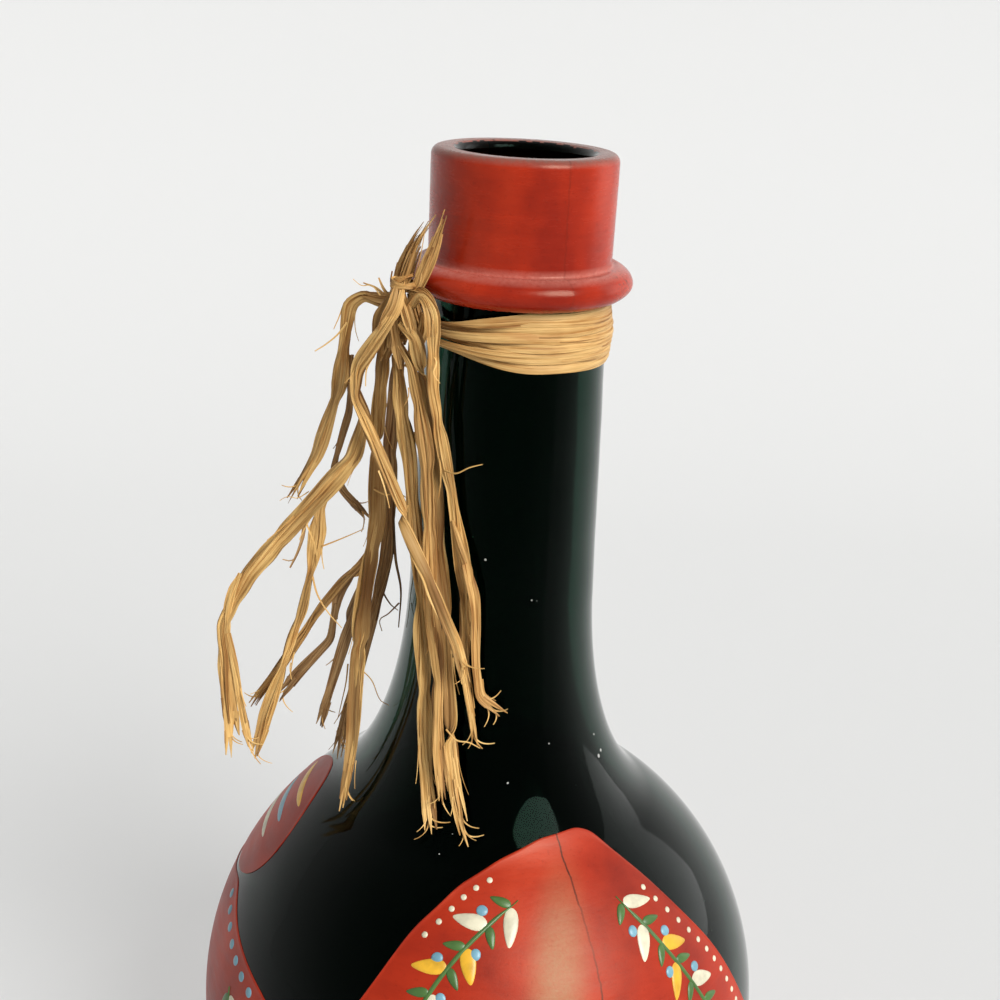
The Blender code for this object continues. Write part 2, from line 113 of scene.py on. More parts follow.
def cornered(line, give=0.9 * MM):
    """The line as straight stretches that meet in short corners, never further than give from it."""
    keep, todo = {0, len(line) - 1}, [(0, len(line) - 1)]
    while todo:
        a, b = todo.pop()
        if b - a < 5:
            continue
        way, rel = line[b] - line[a], line[a:b + 1] - line[a]
        along = np.clip(rel @ way / (way @ way), 0, 1)
        off = np.linalg.norm(rel - along[:, None] * way, axis=1)
        k = int(off.argmax())
        if off[k] > give and 2 < k < b - a - 2:
            keep.add(a + k)
            todo += [(a, a + k), (a + k, b)]
    out = even(line[sorted(keep)], 0.8 * MM)
    for _ in range(2):
        out[1:-1] = (out[:-2] + 2 * out[1:-1] + out[2:]) / 4
    return out


# Meshes
def band_faces(rows, ring, closed=True):
    """Quads between rows of points, ring points to a row."""
    faces = []
    for a in range(0, (rows - 1) * ring, ring):
        for j in range(ring if closed else ring - 1):
            k = (j + 1) % ring
            faces.append((a + j, a + k, a + ring + k, a + ring + j))
    return faces


class Piece:
    """Gathers closed shells into one mesh object."""

    def __init__(self, name):
        self.name = name
        self.verts, self.faces, self.info, self.slots = [], [], [], []
        self.count = 0

    def add(self, verts, faces, info=None):
        verts = np.asarray(verts, float).reshape(-1, 3)
        self.verts.append(verts)
        self.faces += [[i + self.count for i in face] for face in faces]
        self.info.append(np.zeros((len(verts), 3)) if info is None else info)
        self.count += len(verts)

    def build(self, *materials):
        mesh = bpy.data.meshes.new(self.name)
        mesh.from_pydata(np.vstack(self.verts).tolist(), [], self.faces)
        mesh.polygons.foreach_set("material_index", self.slots or [0] * len(self.faces))
        mesh.polygons.foreach_set("use_smooth", [True] * len(self.faces))
        strand = mesh.attributes.new("strand", "FLOAT_VECTOR", "POINT")
        strand.data.foreach_set("vector", np.vstack(self.info).astype(np.float32).ravel())
        for material in materials:
            mesh.materials.append(material)
        mesh.update()
        made = bpy.data.objects.new(self.name, mesh)
        bpy.context.collection.objects.link(made)
        mesh.set_sharp_from_angle(angle=math.radians(55))
        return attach(made, "root")


# Node materials
class Nodes:
    """Short ways to add nodes to a tree; a value is a constant or another node's output."""

    def __init__(self, tree):
        self.tree = tree

    def feed(self, socket, value):
        if isinstance(value, bpy.types.NodeSocket):
            self.tree.links.new(value, socket)
        elif socket.type == "RGBA":
            socket.default_value = (*value, 1)
        else:
            socket.default_value = value

    def node(self, kind, *values, output=0, **settings):
        """A new node's output; values feed its inputs in order, settings name properties or inputs."""
        new = self.tree.nodes.new("ShaderNode" + kind)
        for key, value in settings.items():
            if key in new.inputs:
                self.feed(new.inputs[key], value)
            else:
                setattr(new, key, value)
        for socket, value in zip(new.inputs, values):
            self.feed(socket, value)
        return new.outputs if output is None else new.outputs[output]

    def math(self, operation, *values, clamp=False):
        return self.node("Math", *values, operation=operation, use_clamp=clamp)

    def times(self, a, b, clamp=False):
        return self.math("MULTIPLY", a, b, clamp=clamp)

    def measure(self, operation, *vectors):
        """A number taken from vectors: a length, a distance or a dot product."""
        return self.node("VectorMath", *vectors, operation=operation, output="Value")

    def between(self, value, first, last, **settings):
        """0 to 1 as a value goes from first to last."""
        return self.node("MapRange", value, first, last, **settings)

    def mix(self, share, a, b, blend="MIX"):
        made = self.tree.nodes.new("ShaderNodeMix")
        made.data_type, made.blend_type = "RGBA", blend
        for k, value in ((0, share), (6, a), (7, b)):
            self.feed(made.inputs[k], value)
        return made.outputs[2]

    def ramp(self, source, *stops):
        """A ramp of colours; one number for a colour is a grey."""
        made = self.tree.nodes.new("ShaderNodeValToRGB")
        elements = made.color_ramp.elements
        elements.remove(elements[-1])
        for k, (place, colour) in enumerate(stops):
            stop = elements.new(place) if k else elements[0]
            stop.position, stop.color = place, (*(colour if isinstance(colour, tuple) else (colour,) * 3), 1)
        self.feed(made.inputs[0], source)
        return made.outputs[0]

    def spot(self, scale, shift=(0, 0, 0)):
        """The object's own coordinates, stretched and shifted."""
        return self.node("Mapping", self.node("TexCoord", output="Object"), Scale=scale, Location=shift)

    def noise(self, scale, detail, rough=0.5, shift=(0, 0, 0)):
        spot = self.spot(scale, shift)
        return self.node("TexNoise", Vector=spot, Scale=1.0, Detail=detail, Roughness=rough)

    def seen_directly(self):
        """1 for camera, glossy and transmission rays."""
        rays = self.node("LightPath", output=None)
        shows = rays["Is Camera Ray"]
        for kind in ("Is Glossy Ray", "Is Transmission Ray"):
            shows = self.math("MAXIMUM", shows, rays[kind])
        return shows


class Look(Nodes):
    """A Principled material."""

    def __init__(self, name, colour):
        self.material = bpy.data.materials.new(name)
        self.material.use_nodes = True
        self.material.diffuse_color = (*colour, 1)
        super().__init__(self.material.node_tree)
        self.shader = self.tree.nodes["Principled BSDF"]
        self.set("Base Color", colour)

    def set(self, socket, value):
        self.feed(self.shader.inputs[socket], value)

    def bump(self, height, strength, distance):
        self.set("Normal", self.node("Bump", Strength=strength, Distance=distance, Height=height))


def raffia_material(name, pale, mid, deep):
    """Split palm leaf: fine lengthwise fibres, straw to brown, with darker stretches where the strand's
    darkening, partly painted shade, is high.
    """
    look = Look(name, mid)
    strand = look.node("Attribute", output="Vector", attribute_name="strand")
    across, along, darkening = look.node("SeparateXYZ", strand, output=None)

    def field(per_across, per_along, layer=0.0):
        spot = look.node("CombineXYZ", look.times(across, per_across), look.times(along, per_along), layer)
        return look.node("TexNoise", Vector=spot, Scale=1.0, Detail=3.0, Roughness=0.6)

    fibres, bands, patches = field(4200, 80), field(1250, 30, 4.0), field(260, 60, 9.0)
    bright = tuple(min(1, c * 1.08) for c in pale)
    fine = look.ramp(fibres, (0.30, deep), (0.40, mid), (0.55, pale), (0.80, bright))
    # Thin dark lines along the strip: painted shade in the slits between fibres
    broad = look.ramp(bands, (0.33, (0.36, 0.23, 0.13)), (0.39, (0.84, 0.77, 0.68)), (0.48, 1.0))
    spots = look.ramp(patches, (0.34, (0.62, 0.45, 0.30)), (0.50, 1.0))
    grown = look.mix(0.65, look.mix(0.75, fine, broad, "MULTIPLY"), spots, "MULTIPLY")
    # Darkening takes the colour towards deep brown: random tone, and painted shade along strands and on the
    # strips behind them
    look.set("Base Color", look.mix(darkening, grown, tuple(c * 0.62 for c in deep)))
    look.set("Roughness", look.ramp(fibres, (0.3, 0.62), (0.7, 0.42)))
    look.set("Specular IOR Level", 0.20)
    look.set("Sheen Weight", 0.05)
    look.set("Sheen Roughness", 0.5)
    look.bump(look.math("ADD", fibres, look.times(bands, 0.8)), 0.75, 0.12 * MM)
    return look.material


# Raffia shapes
FRONT = (0, -1, 0.15)
GROOVE = 0.05 * MM  # how deep the lengthwise grooves are
TORN_REACH = 2.6 * MM  # how far the torn fibres run past a strand's own line
FLARE = 0.5  # how much they part
CREASE_GAP = 16 * MM
CALM_END = 14 * MM  # a strand's last stretch, without creases


def ribbon_frame(line, facing):
    """The way out of a strip's face, and the way across it, at each point."""
    tangent = unit(np.gradient(line, axis=0))
    facing = np.broadcast_to(np.asarray(facing, float), line.shape)
    normal = unit(facing - np.sum(facing * tangent, -1, keepdims=True) * tangent)
    return normal, np.cross(tangent, normal)


def ribbon(line, width, curl, roll, seed, darkening, across, thick, facing=FRONT, pleat=0.0, waves=1.6):
    """A closed strip of raffia along a line: curled across, pleated lengthwise and rolled about its line."""
    count, s = len(line), distances(line)
    width, curl, roll, darkening, pleat = (np.broadcast_to(np.asarray(x, float), count)
                                      for x in (width, curl, roll, darkening, pleat))
    normal, side = ribbon_frame(line, facing)
    rng = np.random.default_rng(seed)
    v = np.linspace(-1, 1, across)
    half = np.maximum(np.abs(curl), 0.06)[:, None] / 2 * np.where(curl < 0, -1, 1)[:, None]
    phi = v[None, :] * half
    radius = width[:, None] / (2 * half)
    nx, ny = np.sin(phi), np.cos(phi)
    x, y = radius * nx, radius * (ny - 1)
    y = y - y.mean(1, keepdims=True)
    drift = np.stack([wander(seed * 31 + j, 30 * MM)(s) for j in range(across)], -1)
    ridges = GROOVE * (0.75 * rng.uniform(-1, 1, across)[None, :] + 0.45 * drift)
    shift = rng.random() + 0.16 * wander(seed * 13 + 5, 60 * MM)(s)
    zigzag = np.abs(2 * ((v[None, :] * waves / 2 + shift[:, None]) % 1) - 1) - 0.5
    ridges = ridges + pleat[:, None] * zigzag
    under = ridges * 0.9 - thick
    px = np.concatenate([x + nx * ridges, (x + nx * under)[:, ::-1]], 1)
    py = np.concatenate([y + ny * ridges, (y + ny * under)[:, ::-1]], 1)
    c, r = np.cos(roll)[:, None], np.sin(roll)[:, None]
    qx, qy = c * px - r * py, r * px + c * py
    verts = line[:, None, :] + qx[..., None] * side[:, None, :] + qy[..., None] * normal[:, None, :]
    ring = 2 * across
    faces = band_faces(count, ring)
    for base, turn in ((0, 1), ((count - 1) * ring, -1)):
        for j in range(across - 1):
            faces.append((base + j + 1, base + j, base + ring - 1 - j, base + ring - 2 - j)[::turn])
    place = np.concatenate([v, v[::-1]])[None, :] * width[:, None] / 2
    info = np.stack([place + seed * 0.013, np.broadcast_to(s[:, None], place.shape) + seed * 0.37,
                     np.broadcast_to(darkening[:, None], place.shape)], -1)
    return verts, faces, info.reshape(-1, 3)


def torn_end(piece, line, roll, width, seed, darkening, number, flare, facing):
    """A strip's torn end: slivers that part and taper."""
    rng = random.Random(seed)
    normal, side = ribbon_frame(line, facing)
    share = np.linspace(0, 1, len(line))
    c, r = np.cos(roll), np.sin(roll)
    for k in range(number):
        lane = (2 * (k + 0.5) / number - 1) * 0.42
        away = width * lane * (1 + flare * 1.6 * share ** 1.6 * rng.uniform(0.2, 1.4))
        away = away + 0.45 * MM * flare * rng.uniform(-1, 1) * share ** 2
        lift = rng.uniform(-1, 1) * 0.7 * MM * flare * share ** 2
        run = line + side * (away * c - lift * r)[:, None] + normal * (away * r + lift * c)[:, None]
        tip = len(run) if k % 2 == 0 else int(round(len(run) * rng.uniform(0.7, 0.95)))
        run = run[:max(4, tip)]
        thin = width / number * rng.uniform(0.95, 1.3) * np.linspace(1.05, rng.uniform(0.4, 0.8), len(run))
        thin = thin * np.clip((len(run) - np.arange(len(run))) / 5, 0.2, 1)
        curl, turned = rng.choice((-1, 1)) * 0.7, roll[:len(run)] + rng.uniform(-0.4, 0.4)
        darker = np.clip(darkening + rng.uniform(-0.15, 0.2), 0, 1)
        piece.add(*ribbon(run, thin, curl, turned, seed * 7 + k, darker, 5, 0.18 * MM, facing))


def peel_off(piece, line, side, normal, edge, seed):
    """A hair-thin fibre that leaves a strand's edge and curls away."""
    rng = random.Random(seed)
    length = rng.randint(5, 10)
    if len(line) < length + 12:
        return
    first = rng.randint(6, len(line) - length - 2)
    rows = slice(first, first + length)
    share = np.linspace(0, 1, length)
    way = rng.choice((-1, 1))
    aside = way * (edge * 0.8 + rng.uniform(0.5, 1.5) * MM * share ** rng.uniform(1.4, 2.4))
    lift = rng.uniform(-0.4, 1.0) * MM * share + 0.2 * MM
    run = line[rows] + side[rows] * aside[:, None] + normal[rows] * lift[:, None]
    thin = rng.uniform(0.2, 0.36) * MM * np.linspace(1.1, 0.5, length)
    piece.add(*ribbon(run, thin, 1.0, 0.4, seed, 0.0, 4, 0.14 * MM))


def creases(s, seed, turn):
    """Where a strand is creased along its length: its roll, drawing-in and sidesteps there."""
    rng = random.Random(seed)
    places = [0.0]
    while places[-1] < s[-1]:
        places.append(places[-1] + rng.uniform(0.6, 1.4) * CREASE_GAP)
    over, states = 0.0, []
    for k in range(len(places)):
        if k and rng.random() < 0.18:
            over = math.pi - over
        states.append(over + turn * rng.uniform(-0.9, 0.9))
    roll, near = np.full(len(s), states[0]), np.zeros(len(s))
    for place, before, after in zip(places[1:], states, states[1:]):
        size = rng.uniform(1.4, 2.8) * MM
        if s[-1] - place < CALM_END:
            continue
        roll = roll + (after - before) * eased((s - place) / (2 * size) + 0.5)
        drawn = min(0.8, 0.3 + 0.4 * abs(after - before))
        near = np.maximum(near, drawn * np.exp(-((s - place) / size) ** 2))
    aside, ahead = (np.interp(s, places, [0] + [rng.uniform(-reach, reach) for _ in places[1:]])
                    for reach in (0.55, 0.35))
    return roll, near, aside, ahead


def bundle_on(piece, line, width, seed, darkening=0.0, lanes=0, fray=2, turn=1.0, pinch=0.5, starts=0.5,
              facing=FRONT, back=True, deep=0.5, ragged=0.06, slivers=2, shape=((0, 1), (1, 1))):
    """A strand of raffia: flat pleated strips side by side that crease, fold over and draw in together."""
    s = distances(line)
    total, step = s[-1], np.arange(len(s))
    normal, side = ribbon_frame(line, facing)
    lanes = lanes or max(1, round(width / 1.5))
    rng = random.Random(seed)
    roll, near, aside, ahead = creases(s, seed, turn)
    c, r = np.cos(roll), np.sin(roll)
    slim = min(1, width / 2.6)
    spread = (1 - pinch * (0.35 + 0.35 * wander(seed + 1, 42 * MM)(s))) * (1 - 0.6 * near)
    spread *= starts + (1 - starts) * np.clip(s / (7 * MM), 0, 1)
    spread = spread * np.interp(s / total, *zip(*shape))
    for k in range(-int(back), lanes + slivers):
        narrow = k >= lanes
        # The strip behind the others is darkened, painted shade between the strips
        if k < 0:
            lane, high, wide, shade = 0.0, -deep / 2, width * 0.8, 0.62
        elif narrow:
            lane, high = rng.uniform(-0.4, 0.4) * width, deep * 0.9
            wide, shade = rng.uniform(0.4, 0.8), rng.uniform(-0.1, 0.3)
        else:
            lane, high = (2 * (k + 0.5) / lanes - 1) * 0.44 * width, rng.uniform(-0.1, 0.8) * deep
            wide, shade = width / lanes * rng.uniform(1.0, 1.35), rng.uniform(-0.15, 0.28)
        key = seed + 17 * (k + 2)

        def drift(layer, length):
            return wander(key + layer, length * MM)(s)

        x = lane * spread + 0.22 * drift(0, 34) * min(1, width / 2) + aside * slim
        y = high * (0.5 + 0.5 * spread) + 0.14 * drift(1, 30) + ahead * slim
        moved = line + (side * (x * c - y * r)[:, None] + normal * (x * r + y * c)[:, None]) * MM
        wides = wide * MM * (1 + 0.16 * drift(2, 30)) * (0.25 + 0.75 * spread)
        curls = rng.choice((1, 1, -1)) * rng.uniform(0.5, 1.2) * (1 + 1.1 * near) + 0.25 * drift(3, 40)
        rolls = roll + rng.uniform(-0.18, 0.18) + 0.22 * drift(4, 34)
        darkenings = np.clip(darkening + shade + 0.16 * drift(5, 30), 0, 1)
        pleats = MM * min(0.34, 0.15 * wide) * (0.55 + 0.45 * drift(6, 45) + 0.5 * near)
        reach = 1.0 if k == lanes // 2 else 1 - ragged * rng.random()
        last = int(round(reach * (len(line) - 1)))
        if narrow:
            last = int(round(rng.uniform(0.5, 0.98) * last))
        split = max(4, last - int(round(rng.uniform(3.5, 7.0) * MM / (total / (len(line) - 1)))))
        if fray < 2 or narrow:
            split = last
        if narrow:
            wides = wides * np.clip((last - step) / 8, 0.35, 1)
        elif fray < 2:
            wides = wides * (0.3 + 0.7 * eased(np.minimum(step, last - step) / 5))
        kept = slice(0, split + 1)
        drawn = [values[kept] for values in (moved, wides, curls, rolls)]
        piece.add(*ribbon(*drawn, key, darkenings[kept], 5 if narrow else 13, 0.22 * MM, facing,
                          pleat=0.0 if narrow else pleats[kept], waves=rng.uniform(1.2, 2.3)))
        if split < last:
            torn = slice(max(0, split - 2), last + 1)
            torn_end(piece, moved[torn], rolls[torn], wides[split], key, darkenings[split], fray, FLARE * slim,
                     facing)
    for k in range(int(total / (18 * MM)) if fray >= 2 else 0):
        peel_off(piece, line, side, normal, width * 0.42 * MM, seed + 997 * (k + 1))


add_camera()

# The knot's centre, and the routes of the solids: a diameter, and points from that centre, in millimetres
TIE = Vector((-21.16, -10.32, 194.0))
ROUTES = {
    "right_tail_1": (1.6, (
        (-0.1, -1.9, -5.2), (0.8, -2.5, -9.5), (2.5, -3.5, -17.0), (4.0, -4.5, -28.0),
        (5.5, -5.0, -43.5), (7.0, -6.5, -59.5), (8.0, -8.5, -71.0), (8.5, -12.0, -82.0),
        (10.0, -17.0, -92.0),
    )),
    "right_tail_2": (1.5, (
        (0.5, -4.0, -2.9), (2.2, -5.0, -5.0), (3.5, -5.5, -9.0), (5.0, -6.5, -16.0),
        (7.0, -7.0, -27.0), (8.0, -7.5, -42.5), (9.5, -9.0, -58.0), (10.5, -10.5, -69.5),
        (11.5, -13.5, -79.0), (12.0, -16.0, -86.0),
    )),
    "right_tail_3": (1.8, (
        (0.8, -5.5, 1.6), (2.5, -6.9, 1.4), (4.0, -6.7, -1.5), (5.1, -3.8, -9.5),
        (6.6, -3.0, -17.0), (8.6, -4.0, -28.0), (10.2, -5.6, -43.0), (11.6, -7.5, -58.5),
        (12.5, -10.5, -71.5), (14.5, -15.0, -84.0), (17.0, -20.0, -92.5),
    )),
    "right_tail_4": (1.6, (
        (2.3, -4.8, 4.1), (3.7, -6.3, 6.9), (5.7, -7.9, 6.7), (6.8, -9.0, 3.5), (6.8, -8.7, -2.0),
        (7.0, -6.9, -9.5), (8.5, -5.9, -18.0), (10.5, -6.2, -27.0), (12.5, -7.3, -39.5),
        (14.5, -7.9, -47.0), (15.0, -8.7, -58.0), (16.0, -10.2, -67.5), (17.5, -12.5, -75.0),
    )),
    "right_tail_5": (1.3, (
        (14.6, -9.3, -42.0), (16.0, -10.2, -47.0), (17.0, -10.6, -56.5), (18.0, -10.6, -65.0),
        (19.0, -11.0, -69.5), (21.0, -11.5, -70.5),
    )),
    "cross_tail": (2.0, (
        (0.0, -5.6, 4.0), (-0.9, -6.0, 2.4), (-2.5, -5.1, -0.2), (-4.7, -3.2, -4.0),
        (-7.0, -1.5, -9.5), (-7.5, -1.0, -13.5), (-4.0, -1.5, -21.0), (-1.0, -4.0, -28.5),
        (3.5, -8.5, -35.5), (8.0, -11.0, -45.5), (11.5, -12.5, -52.5), (14.0, -13.0, -57.5),
        (15.5, -13.5, -62.5),
    )),
    "centre_tail": (2.2, (
        (-2.4, 1.0, -2.7), (-3.1, 1.5, -6.0), (-3.5, 3.5, -15.5), (-3.5, 4.0, -27.5),
        (-3.0, 4.0, -39.5), (-4.5, 4.0, -49.5), (-5.5, 3.5, -60.5), (-6.0, 2.0, -73.0),
        (-6.5, -0.5, -85.0), (-7.5, -5.2, -95.5),
    )),
    "rear_tail": (1.6, (
        (0.4, 3.0, -5.4), (-0.2, 4.9, -10.0), (-1.0, 7.0, -16.5), (-1.0, 7.5, -30.5),
        (-1.5, 8.0, -45.0), (-3.0, 8.0, -56.0), (-5.0, 7.5, -66.5), (-7.0, 6.0, -77.0),
        (-9.5, 3.5, -89.0),
    )),
    "left_fold": (2.2, (
        (-3.4, 2.0, 3.0), (-6.5, 3.0, 4.2), (-9.0, 4.0, 2.5), (-10.0, 4.5, -2.0),
        (-10.0, 4.5, -6.5), (-10.2, 5.0, -10.5), (-11.0, 5.0, -14.0), (-13.0, 5.0, -20.5),
        (-15.5, 5.0, -27.5), (-18.0, 5.5, -32.5), (-19.5, 5.5, -35.5),
    )),
    "left_curl": (1.2, (
        (-9.3, 6.2, -13.5), (-9.3, 6.3, -19.5), (-11.5, 6.5, -25.5), (-12.0, 6.5, -30.5),
        (-10.5, 7.0, -34.5), (-8.0, 7.2, -37.0), (-6.0, 7.3, -39.5),
    )),
    "far_left_tail": (2.2, (
        (-8.6, 2.8, -12.0), (-6.5, 2.5, -15.5), (-5.9, 1.8, -18.5), (-6.7, 1.5, -23.0),
        (-10.5, 2.0, -30.5), (-16.0, 2.0, -37.0), (-23.5, 2.5, -45.5), (-29.5, 2.5, -53.5),
        (-33.5, 2.5, -62.0), (-34.0, 2.5, -72.5), (-33.0, 2.5, -81.5), (-31.5, 2.5, -89.5),
    )),
    "far_left_fork": (1.2, (
        (-31.9, 2.5, -64.5), (-30.8, 2.5, -73.0), (-29.5, 2.5, -81.0), (-28.0, 2.5, -88.5),
    )),
    "middle_left_tail": (2.2, (
        (-13.9, 4.3, -36.8), (-14.5, 5.5, -43.0), (-16.0, 5.5, -51.5), (-17.5, 5.5, -60.0),
        (-20.0, 5.5, -69.0), (-22.5, 5.5, -79.0), (-26.5, 5.0, -91.0),
    )),
    "slanting_tail": (1.8, (
        (-6.2, 5.8, -49.8), (-9.5, 8.2, -54.0), (-14.5, 9.5, -61.0), (-19.0, 9.5, -67.5),
        (-23.5, 9.5, -75.0), (-27.5, 9.5, -82.0),
    )),
    "slanting_fork": (1.4, (
        (-11.5, 8.7, -59.6), (-11.5, 8.5, -65.0), (-14.0, 8.5, -70.0), (-18.0, 8.5, -74.5),
        (-21.5, 8.5, -79.5),
    )),
    "dark_tail": (1.5, (
        (-6.9, 5.2, -58.2), (-8.5, 6.4, -64.0), (-10.0, 6.5, -70.0), (-12.0, 7.0, -77.5),
        (-14.0, 7.0, -84.0),
    )),
    "tuft_1": (1.6, (
        (-0.2, -3.1, 4.6), (1.5, -3.5, 10.0), (3.5, -4.0, 15.5), (6.5, -5.0, 20.5),
    )),
    "tuft_2": (1.2, (
        (2.3, -2.7, 3.8), (3.2, -3.6, 7.5), (4.4, -4.7, 11.5), (6.0, -6.0, 16.5), (8.0, -7.5, 22.0),
    )),
    "tuft_3": (1.2, (
        (-1.2, -1.0, 4.1), (0.0, -0.5, 10.5), (2.0, -1.5, 15.5), (4.0, -2.0, 19.0),
    )),
}


def at_knot(points):
    return [(Vector(p) + TIE) * MM for p in points]


def route(name):
    return at_knot(ROUTES[name][1])


# The dark look is the same straw darkened, painted shade for the strands and fibres behind the neck and the
# knot
LOOKS = {
    "pale": raffia_material("straw_pale", (0.86, 0.56, 0.21), (0.68, 0.385, 0.115), (0.29, 0.12, 0.032)),
    "tan": raffia_material("straw_tan", (0.76, 0.46, 0.165), (0.54, 0.29, 0.085), (0.23, 0.095, 0.028)),
    "dark": raffia_material("straw_dark", (0.46, 0.28, 0.12), (0.29, 0.155, 0.06), (0.10, 0.048, 0.018)),
    "wound": raffia_material("straw_wound", (0.74, 0.47, 0.18), (0.60, 0.35, 0.115), (0.27, 0.12, 0.035)),
}

# Each strand: look, width in millimetres, darkening, turning, drawing in
STRANDS = {
    "right_tail_1": ("pale", 3.3, 0.05, 0.5, 0.35),
    "right_tail_2": ("tan", 2.9, 0.00, 0.6, 0.35),
    "right_tail_3": ("pale", 3.2, 0.00, 0.6, 0.40),
    "right_tail_4": ("pale", 2.6, 0.10, 0.8, 0.50),
    "right_tail_5": ("tan", 1.8, 0.00, 0.7, 0.40),
    "cross_tail": ("pale", 2.9, 0.00, 0.7, 0.50),
    "centre_tail": ("pale", 3.9, 0.05, 0.7, 0.45),
    "rear_tail": ("dark", 2.8, 0.00, 0.6, 0.30),
    "left_fold": ("pale", 3.2, 0.04, 0.7, 0.55),
    "left_curl": ("dark", 1.5, 0.00, 1.0, 0.40),
    "far_left_tail": ("pale", 3.7, 0.00, 0.8, 0.60),
    "far_left_fork": ("pale", 1.6, 0.10, 0.6, 0.40),
    "middle_left_tail": ("pale", 3.0, 0.03, 1.0, 0.60),
    "slanting_tail": ("tan", 2.4, 0.08, 0.8, 0.50),
    "slanting_fork": ("dark", 1.7, 0.00, 0.8, 0.40),
    "dark_tail": ("dark", 2.0, 0.10, 0.6, 0.30),
}
# Each strand's width along it, as shares of its length and of its full width
SHAPES = {
    "right_tail_1": ((0, 0.8), (0.3, 1.0), (0.7, 0.95), (1, 0.75)),
    "right_tail_2": ((0, 0.8), (0.4, 1.0), (1, 0.7)),
    "right_tail_3": ((0, 0.9), (0.25, 0.85), (0.6, 1.0), (0.85, 0.9), (1, 0.6)),
    "right_tail_4": ((0, 1.1), (0.15, 1.0), (0.5, 0.8), (0.62, 1.15), (0.75, 0.75), (1, 0.7)),
    "right_tail_5": ((0, 0.9), (0.5, 1.0), (1, 0.8)),
    "cross_tail": ((0, 1.1), (0.15, 1.1), (0.22, 0.75), (0.25, 0.35), (0.27, 0.35), (0.33, 0.65),
                   (0.75, 0.8), (1, 0.75)),
    "centre_tail": ((0, 0.8), (0.3, 0.85), (0.6, 1.1), (0.8, 0.85), (0.92, 0.6), (1, 0.5)),
    "left_fold": ((0, 0.8), (0.15, 1.1), (0.25, 0.8), (0.40, 1.45), (0.46, 1.3), (0.52, 0.6), (0.7, 0.9),
                  (1, 0.6)),
    "far_left_tail": ((0, 0.6), (0.22, 0.95), (0.42, 1.45), (0.56, 1.2), (0.66, 0.55), (0.69, 0.6),
                      (0.74, 1.05), (1, 1.0)),
    "middle_left_tail": ((0, 0.6), (0.10, 1.45), (0.18, 1.3), (0.30, 0.55), (0.6, 0.9), (0.75, 1.0),
                         (1, 0.6)),
}
# Painted shade: how much darker a strand grows along it where shade falls on it, as shares of its length
SHADES = {
    "left_fold": ((0, 0.20), (0.1, 0.0), (0.40, 0.0), (0.46, 0.25), (0.54, 0.35), (0.64, 0.1), (1, 0.2)),
    "cross_tail": ((0, 0.0), (0.20, 0.10), (0.26, 0.35), (0.34, 0.10), (1, 0.0)),
    "right_tail_1": ((0, 0.35), (0.15, 0.15), (0.4, 0.05), (0.7, 0.20), (1, 0.0)),
    "right_tail_2": ((0, 0.10), (0.3, 0.25), (0.5, 0.05), (1, 0.15)),
    "right_tail_3": ((0, 0.0), (0.35, 0.0), (0.5, 0.18), (0.65, 0.0), (1, 0.05)),
    "centre_tail": ((0, 0.40), (0.15, 0.15), (0.35, 0.0), (0.55, 0.10), (1, 0.0)),
    "middle_left_tail": ((0, 0.15), (0.2, 0.0), (0.33, 0.30), (0.5, 0.0), (1, 0.15)),
    "far_left_tail": ((0, 0.25), (0.2, 0.05), (0.45, 0.0), (0.7, 0.25), (0.8, 0.0), (1, 0.0)),
}
# How far a strand lies to the right of its solid's line, in millimetres, along it
NUDGES = {
    "far_left_tail": ((0, 0), (0.23, 0.4), (0.33, 0.9), (0.46, 1.3), (0.57, 1.2), (0.68, 0.7), (0.8, 1.1),
                      (1, 0.3)),
}
# The strands that each strand splits into
SPLITS = {"left_fold": ["left_curl"], "far_left_tail": ["far_left_fork"], "slanting_tail": ["slanting_fork"],
          "centre_tail": ["dark_tail"]}


def told(table, name, line):
    """What a table says along a strand's line, 0 for a strand that it leaves out."""
    share = distances(line) / distances(line)[-1]
    return np.interp(share, *zip(*table.get(name, ((0, 0), (1, 0)))))


def strand_line(name, points):
    line = smooth_path(points)
    line[:, 0] += told(NUDGES, name, line) * MM
    return line


def add_strand(name, number):
    look, width, darkening, turn, pinch = STRANDS[name]
    points = route(name)
    tip = points[-1] + (points[-1] - points[-2]).normalized() * TORN_REACH
    bends = cornered(strand_line(name, points + [tip]))
    piece = Piece("raffia_" + name)
    bundle_on(piece, bends, width, 100 + number * 113, darkening + told(SHADES, name, bends), turn=turn,
              pinch=pinch * 0.6, shape=SHAPES.get(name, ((0, 1), (1, 0.8))))
    made = piece.build(LOOKS[look])
    nodes = [name, "left_short_tail"] if name == "left_fold" else [name]
    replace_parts(made, *nodes)
    return made, strand_line(name, points)


